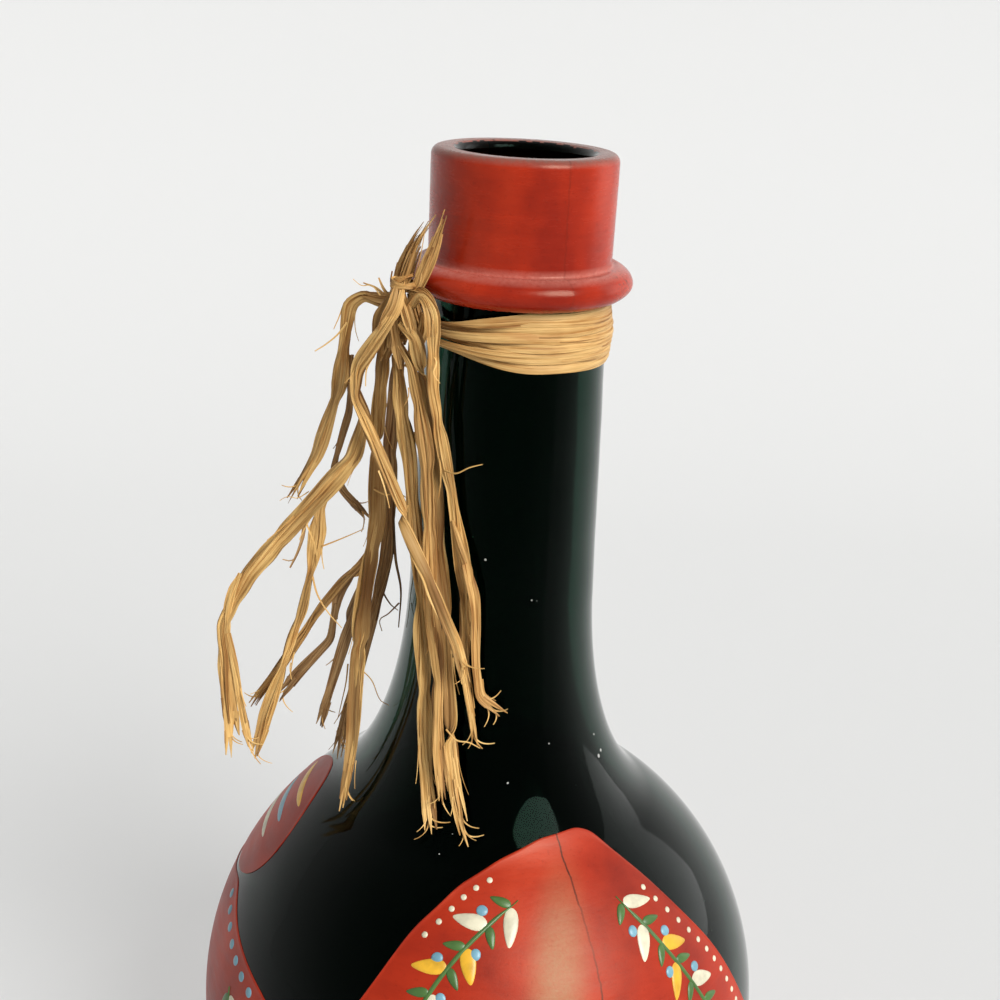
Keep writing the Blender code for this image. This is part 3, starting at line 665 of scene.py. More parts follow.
# Where a strand leaves another: look, width, and points in millimetres from the knot's centre
LEAVES = {
    "far_left_fork": ("pale", 2.0, ((-29.4, 2.3, -51.5), (-31.4, 2.4, -57.0), (-32.3, 2.4, -61.5),
                                    (-31.9, 2.5, -66.0))),
    "slanting_fork": ("dark", 1.9, ((-7.4, 7.0, -52.0), (-9.9, 8.4, -55.6), (-11.4, 8.7, -59.4),
                                    (-11.5, 8.6, -63.0))),
    "dark_tail": ("dark", 2.0, ((-5.0, 4.6, -49.0), (-5.8, 4.8, -54.0), (-7.0, 5.2, -58.6),
                                (-8.3, 6.2, -63.2))),
    "right_tail_5": ("tan", 1.9, ((11.6, -7.2, -34.5), (13.0, -8.2, -38.5), (14.7, -9.3, -42.4),
                                  (15.9, -10.1, -46.6))),
    "slanting_tail": ("tan", 2.4, ((-3.4, 4.2, -42.0), (-4.4, 4.8, -46.5), (-6.4, 5.9, -50.2),
                                   (-9.2, 8.0, -53.6))),
    "middle_left_tail": ("pale", 2.6, ((-9.6, 2.6, -29.0), (-12.0, 3.2, -32.6), (-13.8, 4.2, -36.6),
                                       (-14.4, 5.3, -41.6))),
    "left_curl": ("dark", 1.6, ((-8.9, 5.0, -7.5), (-9.2, 5.7, -10.5), (-9.3, 6.2, -13.5),
                                (-9.3, 6.3, -18.0))),
}


def add_leaves():
    """Short stretches that carry the split-off strands back into the ones that they leave."""
    for k, (name, (look, width, points)) in enumerate(LEAVES.items()):
        piece = Piece("raffia_root_of_" + name)
        bundle_on(piece, smooth_path(at_knot(points), 0.7 * MM), width * 0.9, 2500 + 41 * k, 0.05, fray=0,
                  turn=0.2, pinch=0.15, starts=0.6, back=False, deep=0.3)
        piece.build(LOOKS[look])


add_leaves()
made_strands = {name: add_strand(name, i) for i, name in enumerate(STRANDS)}
branches = {branch for group in SPLITS.values() for branch in group}
for name, (made, line) in made_strands.items():
    if name in branches:
        continue

# Each tuft that stands up from the knot: width in millimetres, and strips side by side
TUFTS = {"tuft_1": (2.7, 3), "tuft_2": (2.4, 4), "tuft_3": (1.7, 2)}
for k, (name, (width, lanes)) in enumerate(TUFTS.items()):
    piece = Piece("raffia_" + name)
    bundle_on(piece, smooth_path(route(name)), width, 900 + k * 71, 0.04 + 0.06 * k, lanes=lanes, turn=0.3,
              pinch=0.3, starts=0.7, ragged=0.4, slivers=3,
              shape=((0, 1), (0.5, 0.95), (0.75, 0.55), (1, 0.3)))
    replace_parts(piece.build(LOOKS["tan"]), name)


# Winding and knot, in millimetres and in radians from the front towards +X
KNOT_AZIMUTH = math.radians(-64)
KNOT_LOBE, KNOT_DEPTH = 1.6, 2.0
WINDING_HEIGHT, WINDING_LOOPS = 192.9, 6
WINDING_RADIUS = 17.4
PITCH_AT_KNOT, PITCH_GAIN = 0.9, 0.87
CROWDED, OPENING = math.radians(15), math.radians(65)


def tapered(count, points, least):
    """Shares of a width that draws in over some points at both ends."""
    step = np.arange(count)
    return least + (1 - least) * eased(np.minimum(step, step[::-1]) / points)


def wind(piece, first, last, seed, width=1.0, shift=0.0, lift=0.0, darkening=0.0, tilt=0.12):
    """A strip wound between two turns (counted from the knot), spread in front and crowded at the knot."""
    turned = np.arange(first * 2 * math.pi, last * 2 * math.pi, 0.055)
    azimuth, s = KNOT_AZIMUTH + turned, turned * 18 * MM

    def drift(layer, length):
        return wander(seed + layer, length * MM)(s)

    from_knot = np.abs((turned + math.pi) % (2 * math.pi) - math.pi)
    spread = eased((from_knot - CROWDED) / OPENING)
    pitch = PITCH_AT_KNOT + PITCH_GAIN * spread
    rank = WINDING_LOOPS / 2 - turned / (2 * math.pi) + shift + 0.10 * drift(0, 60)
    height = WINDING_HEIGHT + pitch * rank
    bulge = 0.35 * (1 - ((height - WINDING_HEIGHT) / 5.6) ** 2)
    crowd = 1.5 * (1 - spread ** 2) * (1 + np.cos(turned / 2)) / 2
    radius = WINDING_RADIUS + lift + bulge + crowd + 0.10 * drift(1, 45)
    out = np.stack([np.sin(azimuth), -np.cos(azimuth), 0 * azimuth], -1)
    line = out * radius[:, None]
    line[:, 2] = height
    wide = width * pitch * (1 + 0.12 * drift(2, 35)) * MM * tapered(len(s), 9, 0.12)
    darkenings = np.clip(darkening + 0.14 * drift(3, 40), 0, 1)
    curls, rolls = 0.6 + 0.25 * drift(4, 50), tilt + 0.10 * drift(5, 40)
    piece.add(*ribbon(line * MM, wide, curls, rolls, seed, darkenings, 11, 0.3 * MM, out, 0.07 * MM * width))


def add_winding():
    """One strip that makes all the turns, and shorter ones over it."""
    piece = Piece("raffia_winding")
    first, last = 0.05, 5.95
    wind(piece, first, last, 1201, width=1.26)
    rng = random.Random(77)
    for k in range(7):
        start = rng.uniform(first, 5.0)
        wind(piece, start, min(last, start + rng.uniform(0.5, 0.95)), 1300 + 9 * k,
             width=rng.uniform(0.35, 0.7), shift=rng.uniform(-0.45, 0.45), lift=rng.uniform(0.12, 0.30),
             darkening=rng.uniform(0, 0.2), tilt=rng.uniform(-0.1, 0.25))
    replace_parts(piece.build(LOOKS["wound"]), "neck_winding")


def knot_line():
    """The overhand figure of the solid knot: along the neck, outwards, and up."""
    turned = np.linspace(math.pi + 0.30, 3 * math.pi - 0.30, 61)
    along = KNOT_LOBE * (np.sin(turned) + 2 * np.sin(2 * turned))
    up = KNOT_LOBE * (np.cos(turned) - 2 * np.cos(2 * turned))
    inwards = KNOT_DEPTH * np.sin(3 * turned)
    east = np.array([math.cos(KNOT_AZIMUTH), math.sin(KNOT_AZIMUTH), 0])
    inner = np.array([-math.sin(KNOT_AZIMUTH), math.cos(KNOT_AZIMUTH), 0])
    points = along[:, None] * east + inwards[:, None] * inner + up[:, None] * np.array([0, 0, 1.0])
    return even((points + np.array(TIE)) * MM, 0.5 * MM)


# Strips over and through the knot: width, and points from its centre
KNOT_STRIPS = (
    (2.9, ((0.6, -3.6, 8.2), (0.4, -5.2, 7.0), (-0.1, -6.0, 4.6), (-0.9, -6.0, 2.4), (-2.5, -5.1, -0.2))),
    (2.6, ((1.8, -3.6, 7.2), (3.2, -5.2, 7.4), (5.0, -7.4, 7.0), (6.6, -8.9, 4.2), (6.8, -8.8, 0.0))),
    (2.4, ((0.9, -3.8, 6.4), (1.6, -5.6, 5.0), (2.4, -6.8, 2.2), (3.6, -6.8, -1.0))),
    (2.6, ((0.2, -2.6, 6.0), (-2.0, -0.6, 4.6), (-4.6, 1.8, 4.4), (-6.8, 2.8, 4.4))),
    (2.2, ((-0.4, -3.8, 5.6), (-0.8, -4.6, 2.0), (-0.2, -4.0, -2.2), (0.8, -3.4, -7.5))),
    (2.4, ((2.0, -2.2, 6.2), (3.4, -2.6, 2.6), (3.6, -2.4, -1.6), (2.4, -1.6, -6.0))),
    (2.6, ((-1.6, 0.6, 4.0), (-2.4, 1.2, 0.6), (-1.6, 1.0, -3.4), (-2.6, 1.6, -7.6))),
    (2.0, ((4.6, -5.2, 3.4), (4.9, -4.6, 0.4), (3.6, -3.6, -3.4), (2.0, -2.6, -7.2))),
    (1.8, ((-1.8, -2.6, 5.2), (-3.4, -2.8, 1.6), (-3.4, -2.0, -2.6), (-4.6, -0.6, -6.4))),
)
# Coils round the knot's top: height, radius and tilt
KNOT_COILS = ((6.9, 2.15, 0.20), (7.7, 2.05, -0.30), (8.3, 1.85, 0.45), (7.4, 2.25, -0.10))
# Short stiff ends that stick out of the knot
STUBS = (
    ((-1.0, -2.4, 4.6), (-2.6, -2.2, 6.6), (-3.6, -2.0, 8.6)),
    ((-2.0, -0.4, 4.4), (-4.2, 0.2, 6.2), (-6.6, 0.4, 7.0)),
    ((-0.6, -3.0, 5.6), (-1.4, -3.2, 8.0), (-1.2, -3.4, 10.2)),
    ((2.4, -4.6, 6.6), (3.8, -5.6, 8.6), (4.2, -6.4, 10.6)),
)


def add_knot():
    piece = Piece("raffia_knot")
    facing = (math.sin(KNOT_AZIMUTH), -math.cos(KNOT_AZIMUTH) - 0.4, 0.2)
    bundle_on(piece, knot_line(), 2.7, 1500, 0.05, fray=0, turn=0.4, pinch=0.3, starts=0.9, facing=facing)
    for k, (width, points) in enumerate(KNOT_STRIPS):
        run = cornered(smooth_path(at_knot(points), 0.6 * MM), 0.5 * MM)
        bundle_on(piece, run, width, 1600 + 31 * k, 0.06, fray=0, turn=0.3, pinch=0.2, starts=0.75)
    for k, (height, size, tilt) in enumerate(KNOT_COILS):
        turned = np.linspace(0.3 * k, 2 * math.pi * 1.08 + 0.3 * k, 34)
        s = turned * size * MM
        x, y, z = Vector((0.9, -3.5, height))
        ring = np.stack([x + size * np.cos(turned), y + size * 0.8 * np.sin(turned),
                         z + tilt * size * np.cos(turned + 0.6) + 0.12 * turned], -1)
        away = np.stack([np.cos(turned), np.sin(turned), 0 * turned], -1)
        wide = (0.95 + 0.35 * wander(1710 + k, 6 * MM)(s)) * MM * tapered(len(s), 5, 0.3)
        rolls = 0.5 * wander(1720 + k, 8 * MM)(s)
        piece.add(*ribbon((ring + np.array(TIE)) * MM, wide, 0.9, rolls, 1700 + k, 0.08 * k, 11, 0.25 * MM,
                          away, pleat=0.16 * MM, waves=2.0))
    for k, points in enumerate(STUBS):
        run = smooth_path(at_knot(points), 0.5 * MM)
        piece.add(*ribbon(run, 0.9 * MM * np.linspace(1, 0.3, len(run)), 1.2, 0.6 * k, 1760 + k, 0.15, 7,
                          0.2 * MM, pleat=0.1 * MM))
    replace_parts(piece.build(LOOKS["tan"]), "knot")


add_winding()
add_knot()

# Loose fibres: width, and points from the knot's centre, in millimetres
HAIRS = (
    (0.28, ((9.6, -7.0, -25.0), (12.0, -9.4, -24.6), (14.2, -10.0, -23.2), (16.6, -10.0, -22.4))),
    (0.24, ((12.4, -13.6, -74.2), (14.5, -15.0, -75.6), (16.8, -15.2, -75.8), (19.0, -15.0, -77.0))),
    (0.30, ((-9.6, 3.0, -1.0), (-11.2, 2.6, -3.2), (-13.4, 2.4, -5.2), (-15.4, 2.4, -6.6))),
    (0.26, ((-15.8, 5.0, -52.0), (-14.6, 4.4, -56.0), (-12.4, 4.0, -59.5), (-9.6, 3.6, -62.5))),
    (0.22, ((-4.0, 3.0, -33.0), (-1.6, 2.0, -33.6), (0.8, 1.2, -32.8), (3.0, 0.6, -33.8))),
    (0.22, ((6.4, -6.8, -3.0), (7.6, -8.2, -4.6), (7.2, -9.0, -6.4), (8.4, -9.6, -8.0))),
    (0.22, ((-3.0, -4.6, 6.0), (-4.6, -4.4, 7.6), (-6.4, -4.0, 7.4), (-8.0, -3.6, 8.4))),
    (0.24, ((-17.0, 2.2, -39.4), (-15.2, 3.4, -45.0), (-14.8, 4.6, -49.5), (-16.4, 5.0, -53.0))),
    (0.20, ((-16.6, 5.2, -35.0), (-18.8, 5.0, -36.4), (-20.6, 5.0, -36.2), (-22.2, 5.2, -37.2))),
    (0.20, ((-6.0, 2.0, -70.0), (-3.4, 2.6, -73.0), (-1.6, 3.0, -77.5), (0.2, 3.0, -78.6))),
    (0.22, ((-13.8, 4.5, -45.8), (-11.3, 4.5, -44.6), (-8.5, 4.6, -43.2), (-5.8, 4.5, -41.7))),
    (0.26, ((-8.4, 5.0, -71.0), (-8.7, 5.0, -75.0), (-9.5, 5.0, -79.5), (-10.2, 5.0, -83.2))),
    (0.22, ((-7.9, 5.0, -76.7), (-8.8, 5.0, -80.2), (-11.0, 5.0, -84.6))),
)
# Loose fibres behind the neck, in the dark straw that is painted shade
DARK_HAIRS = (
    (0.75, ((-17.0, 2.6, -38.6), (-17.3, 3.0, -43.1), (-18.3, 3.0, -46.7), (-19.8, 3.0, -50.1))),
    (0.25, ((-18.9, 3.0, -48.2), (-19.8, 2.8, -48.6), (-21.2, 2.6, -48.3))),
    (0.60, ((-0.6, 9.0, -41.0), (0.2, 9.0, -49.6), (1.4, 9.0, -56.0), (1.2, 8.8, -64.1))),
    (0.35, ((-2.7, 8.0, -55.2), (-0.6, 8.0, -58.7), (1.0, 8.2, -60.1))),
    (0.30, ((1.2, 8.0, -58.4), (-0.9, 7.5, -60.7), (-2.5, 7.5, -62.1), (-2.0, 7.5, -64.5))),
)


def end_hairs(piece, line, seed, number):
    """Hair-thin fibres that curl away from a strand's end."""
    rng = random.Random(seed)
    way = unit(line[-1] - line[-4])
    share = np.linspace(0, 1, 12)[:, None]
    for k in range(number):
        start = line[-1 - rng.randint(0, 4)]
        across = np.cross(way, (rng.uniform(-0.4, 0.4), -1, rng.uniform(-0.4, 0.4)))
        aside = unit(across) * rng.choice((-1, 1))
        length, curl = rng.uniform(3.2, 6.0) * MM, rng.uniform(0.5, 1.3)
        run = start + way * length * share * (1 - 0.45 * curl * share)
        run = run + aside * length * 0.6 * curl * share ** 1.8
        run = run + np.array([0, -1, 0]) * rng.uniform(-0.1, 0.3) * length * share ** 2
        wide = 0.38 * MM * np.linspace(1, 0.4, 12)
        piece.add(*ribbon(run, wide, 1.0, 0.3, seed * 11 + k, 0.0, 4, 0.16 * MM))


def fibres_on(piece, fibres, seed, tip, curl, roll, across, thick):
    for k, (width, points) in enumerate(fibres):
        line = smooth_path(at_knot(points), 0.6 * MM)
        wide = width * 1.5 * MM * np.linspace(1, tip, len(line))
        piece.add(*ribbon(line, wide, curl, roll, seed + k, 0.0, across, thick))


def add_hairs():
    piece = Piece("raffia_loose_fibres")
    for k, name in enumerate(STRANDS):
        end_hairs(piece, made_strands[name][1], 2100 + 7 * k, 4 if name.startswith("right") else 2)
    fibres_on(piece, HAIRS, 1900, 0.45, 1.0, 0.3, 4, 0.16 * MM)
    piece.build(LOOKS["pale"])
    piece = Piece("raffia_dark_fibres")
    fibres_on(piece, DARK_HAIRS, 1960, 0.35, 1.2, 0.6, 7, 0.18 * MM)
    piece.build(LOOKS["dark"])


add_hairs()

# The glass outside, as radii and heights in millimetres
COLLAR_RADIUS, COLLAR_TOP, COLLAR_FOOT = 17.0, 223.4, 205.6
RING_CENTRE, RING_SIZE = (16.3, 202.0), (4.7, 3.3)
RING_TOP, RING_FOOT = 1.5, 0.4  # where the crease and the neck meet the ring, past its centre
NECK_TOP, NECK_FOOT = 198.7, (18.2, 141.0)
GLOBE, GLOBE_Z = 58.7, 47.0
SHOULDER, HEEL, INNER_HEEL = (math.radians(angle) for angle in (35.2, 50.0, 48.0))
REST, PUNT_EDGE, PUNT_TOP = 35.5, 32.5, 12.0
# The glass inside
BORE, THROAT, INNER_FOOT = 13.8, (12.2, NECK_TOP), (13.8, NECK_FOOT[1])
WALL = 3.3
FLOOR_EDGE, FLOOR_TOP = (31.95, 6.0), 17.5
SEAM = math.radians(27.4)
ON_AXIS = 1e-6
NECK_HANDLE, GLOBE_HANDLE = 0.515, 0.206  # how far the shoulder's curve follows each, as shares of its reach
HEEL_HANDLE = 0.56


def arc(centre, radii, start, end, steps):
    angles = np.linspace(start, end, steps + 1)
    return [(centre[0] + radii[0] * math.cos(a), centre[1] + radii[1] * math.sin(a)) for a in angles]


def bend(a, b, c, d, steps):
    t = np.linspace(0, 1, steps + 1)[:, None]
    return [tuple(p) for p in bezier(*(np.array(p, float) for p in (a, b, c, d)), t)]


def straight(a, b, steps):
    return [tuple(p) for p in np.linspace(a, b, steps + 1)]


def flare(foot, way, radius, steps):
    """The curve from the neck's foot, along its way, into the globe."""
    out, up = math.sin(SHOULDER), math.cos(SHOULDER)
    foot, way, meets = np.array(foot), np.array(way), np.array((radius * out, GLOBE_Z + radius * up))
    reach = math.hypot(*(meets - foot))
    first = foot + way / math.hypot(*way) * NECK_HANDLE * reach
    second = meets + np.array((-up, out)) * GLOBE_HANDLE * reach
    return bend(foot, first, second, meets, steps)


def outside():
    """The outline from the rim's flat down to the axis under the punt, as finish, body and punt."""
    rim = arc((COLLAR_RADIUS - 1.4, COLLAR_TOP), (1.4, 1.6), math.pi / 2, 0, 10)
    corner = (COLLAR_RADIUS, COLLAR_FOOT)
    collar = straight((COLLAR_RADIUS, COLLAR_TOP), corner, 12)
    crease = bend(corner, (17.0, 204.9), (17.1, 204.85), (17.8, 204.8), 6)
    start, end = math.acos(RING_TOP / RING_SIZE[0]) * 0.985, -math.acos(RING_FOOT / RING_SIZE[0])
    ring = arc(RING_CENTRE, RING_SIZE, start, end, 26)
    neck = straight(ring[-1], NECK_FOOT, 40)
    shoulder = flare(NECK_FOOT, np.subtract(NECK_FOOT, ring[-1]), GLOBE, 34)
    globe = arc((0, GLOBE_Z), (GLOBE, GLOBE), math.pi / 2 - SHOULDER, HEEL - math.pi / 2, 84)
    x, z = globe[-1]
    foot = x - z / math.tan(HEEL)
    low = (x + (foot - x) * HEEL_HANDLE, z * (1 - HEEL_HANDLE))
    heel = bend((x, z), low, (REST + (foot - REST) * HEEL_HANDLE, 0), (REST, 0), 14)
    punt = bend((PUNT_EDGE, 0), (29.25, 0.6), (16.9, PUNT_TOP), (0, PUNT_TOP), 20)
    return rim + collar[1:] + crease[1:] + ring[1:], neck[1:] + shoulder[1:] + globe[1:] + heel[1:], punt


def inside():
    """The outline from the axis on the floor up to the rim's flat."""
    dome = bend((0, FLOOR_TOP), (15.98, FLOOR_TOP), (22.37, 6.7), FLOOR_EDGE, 16)
    radius = GLOBE - WALL
    globe = arc((0, GLOBE_Z), (radius, radius), INNER_HEEL - math.pi / 2, math.pi / 2 - SHOULDER, 60)
    x, z = globe[0]
    back = (x - 4 * math.cos(INNER_HEEL), z - 4 * math.sin(INNER_HEEL))
    heel = bend(FLOOR_EDGE, (35.95, 6.0), back, (x, z), 10)
    shoulder = flare(INNER_FOOT, np.subtract(INNER_FOOT, THROAT), radius, 24)
    lip = arc((BORE, COLLAR_TOP), (1.6, 1.6), math.pi, math.pi / 2, 8)
    neck = straight(INNER_FOOT, THROAT, 20)[1:] + straight(THROAT, lip[0], 10)[1:]
    return dome + heel[1:] + globe[1:] + shoulder[-2::-1] + neck + lip[1:]


FINISH, BODY, PUNT = outside()
OUTLINE = np.array(BODY[::-1])
ALONG = distances(OUTLINE)


def radius_at(z):
    """Outer radius at a height over the heel, millimetres."""
    return np.interp(z, OUTLINE[:, 1], OUTLINE[:, 0])


def climb(z):
    """Distance along the outline, from the heel, of a height."""
    return np.interp(z, OUTLINE[:, 1], ALONG)


def height_at(s):
    """The height at a distance along the outline."""
    return np.interp(s, ALONG, OUTLINE[:, 1])


def on_glass(azimuth, z, lift):
    """Points in metres at azimuths (degrees from the front towards +X) and heights, lifted off the glass."""
    azimuth, z = np.radians(np.asarray(azimuth, float)), np.asarray(z, float)
    r = radius_at(z)
    slope = (radius_at(z + 0.2) - radius_at(z - 0.2)) / 0.4
    size = np.sqrt(1 + slope ** 2)
    r, z = r + lift / size, z - slope * lift / size
    return np.stack([r * np.sin(azimuth), -r * np.cos(azimuth), z], -1) * MM


def round_noise(angle, scale, height):
    """Noise that runs round the bottle without a break."""
    return noise.noise(Vector((math.sin(angle) * scale, math.cos(angle) * scale, height)))


def unevenness(angle, from_seam, z):
    """How far the glass stands out of its outline: two mould seams, and a wavy neck and ring."""
    out = 0.05 * math.exp(-(from_seam / 1.3) ** 2)
    if z > 140:
        out += 0.10 * round_noise(angle, 1.7, z * 0.11)
    if NECK_TOP <= z < 206:
        out += 0.16 * round_noise(angle, 2.6, z * 0.3 + 9)
    return out


def add_bottle(glass, lacquer, around=224):
    inner = inside()
    rows = inner + FINISH + BODY + PUNT
    first_red, last_red, half = len(inner) - 1, len(inner) + len(FINISH), around // 2
    angles = np.arange(around) * 2 * math.pi / around + SEAM
    verts, offsets = [], []
    for k, (r, z) in enumerate(rows):
        offsets.append(len(verts))
        if r < ON_AXIS:
            verts.append((0, 0, z * MM))
            continue
        for i, a in enumerate(angles):
            blown = k >= first_red + 2 and z > 4
            size = r + (unevenness(a, min(i % half, half - i % half), z) if blown else 0.0)
            verts.append((size * math.sin(a) * MM, -size * math.cos(a) * MM, z * MM))
    # The lacquer's uneven limits, in rows inside the lip and above the end of the finish
    limits = [(3 + 1.9 * round_noise(a, 9, 2.0), 5.5 + 2.6 * round_noise(a, 2.2, 4.0)) for a in angles]
    piece = Piece("blown_bottle")
    faces = []
    for k in range(len(rows) - 1):
        a, b = offsets[k:k + 2]
        for i, (lip, edge) in enumerate(limits):
            j = (i + 1) % around
            if rows[k][0] < ON_AXIS:
                face = (a, b + i, b + j)
            elif rows[k + 1][0] < ON_AXIS:
                face = (a + i, b, a + j)
            else:
                face = (a + i, b + i, b + j, a + j)
            faces.append(face)
            piece.slots.append(int(first_red - lip <= k < last_red - edge))
    piece.add(verts, faces)
    made = piece.build(glass, lacquer)
    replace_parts(made, "bottle")


def glass_material():
    """Dark green glass with a faint haze, slow waves and a few specks of dust."""
    green = (0.008, 0.030, 0.019)
    look = Look("bottle_green_glass", green)
    look.set("Transmission Weight", 1.0)
    look.set("IOR", 1.46)
    look.set("Specular Tint", (0.03, 0.06, 0.045))
    look.bump(look.noise((45, 45, 30), 1.5), 0.12, 1.2 * MM)
    look.set("Roughness", look.ramp(look.noise((120, 120, 90), 2.0), (0.40, 0.03), (0.70, 0.09)))
    specks = look.node("TexVoronoi", Vector=look.spot((330, 330, 330)), Scale=1.0, output="Distance")
    size = look.noise((150, 150, 150), 2.0, shift=(3, 1, 2))
    limit = look.times(look.math("SUBTRACT", size, 0.585, clamp=True), 1.1)
    dust = look.math("LESS_THAN", specks, limit)
    look.set("Base Color", look.mix(dust, green, (0.45, 0.45, 0.42)))
    look.set("Transmission Weight", look.math("SUBTRACT", 1.0, dust))
    return look.material


def lacquer_material(name, smoothest, roughest, gloss, painted_front_highlight=False):
    """Hand-brushed red enamel: streaks round the piece, darker pits, wear on the rim and chips on the ring,
    a pale line along the crease that is wear and painted highlight, and on request a painted highlight on
    the front.
    """
    rim_wear, crease_height, crease_reach = (0.2236, 0.2249), 0.2050, (0.0013, 0.0002)
    chips_at, chips_reach = (0.0195, -0.0072, 0.2020), (0.0062, 0.0030)
    seam_reach, seam_sway = (0.00026, 0.00010), 0.0011
    look = Look(name, (0.50, 0.035, 0.014))
    here = look.node("TexCoord", output="Object")
    z = look.node("SeparateXYZ", here, output="Z")
    strokes = look.noise((90, 90, 420), 4.0, 0.65)
    cloud = look.noise((60, 60, 40), 3.0, shift=(5, 2, 1))
    grain = look.noise((1400, 1400, 1400), 6.0, 0.7)
    red = look.ramp(cloud, (0.32, (0.27, 0.012, 0.004)), (0.50, (0.42, 0.024, 0.006)),
                    (0.70, (0.54, 0.042, 0.012)))
    streaks = look.ramp(strokes, (0.32, (0.80, 0.70, 0.66)), (0.55, 1))
    pits = look.ramp(grain, (0.34, (0.55, 0.42, 0.38)), (0.42, 1))
    coat = look.mix(0.35, look.mix(0.55, red, streaks, "MULTIPLY"), pits, "MULTIPLY")
    worn = look.times(look.between(z, *rim_wear), look.times(grain, 1.5), clamp=True)
    coat = look.mix(worn, coat, (0.21, 0.115, 0.09))
    # Pale speckled line along the crease above the ring: worn paint, and a painted highlight where the
    # crease's curve mirrors the light
    from_crease = look.math("ABSOLUTE", look.math("SUBTRACT", z, crease_height))
    crease_wear_and_highlight = look.times(look.between(from_crease, *crease_reach), look.times(grain, 1.1), clamp=True)
    coat = look.mix(look.times(crease_wear_and_highlight, 0.8), coat, (0.66, 0.26, 0.20))
    patch = look.between(look.measure("DISTANCE", here, chips_at), *chips_reach)
    chipped = look.times(patch, look.ramp(grain, (0.52, 0), (0.60, 1)), clamp=True)
    coat = look.mix(look.times(chipped, 0.8), coat, (0.07, 0.012, 0.008))
    # A soft tan patch on the front panel: a painted highlight where the light's broad reflection falls on
    # the satin paint
    if painted_front_highlight:
        apart = look.measure("LENGTH", look.spot((165, 33, 54), (-2.4, 1.43, -4.30)))
        near = look.between(apart, 1.25, 0.15, interpolation_type="SMOOTHSTEP")
        coat = look.mix(look.times(near, look.math("ADD", grain, 0.25)), coat, (0.37, 0.18, 0.085))
    sway = look.times(look.math("SUBTRACT", strokes, 0.5), seam_sway)
    aside = look.measure("DOT_PRODUCT", here, (math.cos(SEAM), math.sin(SEAM), 0))
    seam = look.between(look.math("ABSOLUTE", look.math("ADD", aside, sway)), *seam_reach)
    groove = look.times(seam, look.ramp(cloud, (0.40, 0.20), (0.56, 1.0)))
    look.set("Base Color", look.mix(groove, coat, (0.075, 0.007, 0.003)))
    look.set("Roughness", look.ramp(strokes, (0.3, smoothest), (0.7, roughest)))
    look.set("Specular IOR Level", gloss)
    look.set("Specular Tint", (1.0, 0.74, 0.56))
    look.bump(look.math("ADD", strokes, look.times(grain, 0.35)), 0.30, 0.25 * MM)
    return look.material


add_bottle(glass_material(), lacquer_material("brushed_red_lacquer", 0.20, 0.32, 0.28))


# Painted panels
# The red coat's upper edge round the body: azimuth in degrees from the front towards +X, and height
UPPER_EDGE = (
    (-90, 72), (-78, 75), (-65, 71), (-48, 67), (-36, 62), (-30, 65), (-25, 75), (-18, 87), (-8, 93.5),
    (5, 97), (20, 99.5), (36, 100), (43, 98.5), (52, 91), (63, 76), (70, 60), (76, 51.5), (84, 48),
    (94, 49.5), (106, 60), (120, 77), (134, 89), (148, 95.5), (160, 96), (172, 91), (184, 80), (196, 66),
    (208, 57.5), (220, 57), (244, 66.5), (256, 70),
)
LOWER_EDGE = 9.0
COAT = 0.14  # its thickness
ENAMEL_FOOT = COAT - 0.04
LIP = np.array(((0.62, 0.05), (0.38, 0.08), (0.16, 0.05), (0.0, -0.04)))  # before the edge, over the coat
MEDALLION = (-93.0, 84.5, 22.5, 10.8)  # middle, height, half its width in degrees, half its height


def upper_edge(azimuth):
    """The red coat's upper edge, softened along it."""
    known = np.array(UPPER_EDGE)
    fine = np.arange(-180, 540, 0.5)
    edge = np.interp((fine + 90) % 360 - 90, np.append(known[:, 0], 270), np.append(known[:, 1], 72.0))
    weights = np.exp(-(np.arange(-14, 15) * 0.5 / 2.8) ** 2)
    return np.interp(azimuth % 360, fine, np.convolve(edge, weights / weights.sum(), "same"))


def coat_shell(piece, columns, low, high, rows, closed):
    """A thin closed coat on the glass between two heights that vary round it."""
    share = eased(np.linspace(0, 1, rows)) * 0.4 + np.linspace(0, 1, rows) * 0.6
    tall = climb(high) - climb(low)
    room = np.minimum(1, tall / 2)
    s = climb(low)[None, :] + (tall - 0.9 * room)[None, :] * share[:, None]
    z = height_at(np.vstack([s, climb(high)[None, :] - LIP[:, :1] * room]))
    azimuth = np.broadcast_to(columns, z.shape)
    lift = np.append(np.full(rows, COAT), COAT + LIP[:, 1])[:, None]
    rows, across = z.shape
    base = rows * across
    faces = []
    for face in band_faces(rows, across, closed):
        faces += [face, tuple(base + i for i in face[::-1])]
    sides = [(j + i, j + (i + 1) % across, flip) for j, flip in ((0, -1), (base - across, 1))
             for i in range(across if closed else across - 1)]
    if not closed:
        sides += [(j + i, j + across + i, flip) for i, flip in ((0, 1), (across - 1, -1))
                  for j in range(0, base - across, across)]
    faces += [(a, b, base + b, base + a)[::flip] for a, b, flip in sides]
    piece.add(np.concatenate([on_glass(azimuth, z, lift), on_glass(azimuth, z, 0.02)]), faces)


def add_panels():
    piece = Piece("red_panels")
    columns = np.arange(0, 360, 1.25)
    coat_shell(piece, columns, np.full(len(columns), LOWER_EDGE), upper_edge(columns), 52, True)
    middle, height, half_wide, half_high = MEDALLION
    columns = middle + half_wide * -np.cos(np.linspace(0.04, math.pi - 0.04, 40))
    rise = half_high * np.sqrt(1 - ((columns - middle) / half_wide) ** 2)
    coat_shell(piece, columns, height - rise, height + rise, 18, False)
    made = piece.build(lacquer_material("panel_red_lacquer", 0.38, 0.48, 0.38, painted_front_highlight=True))


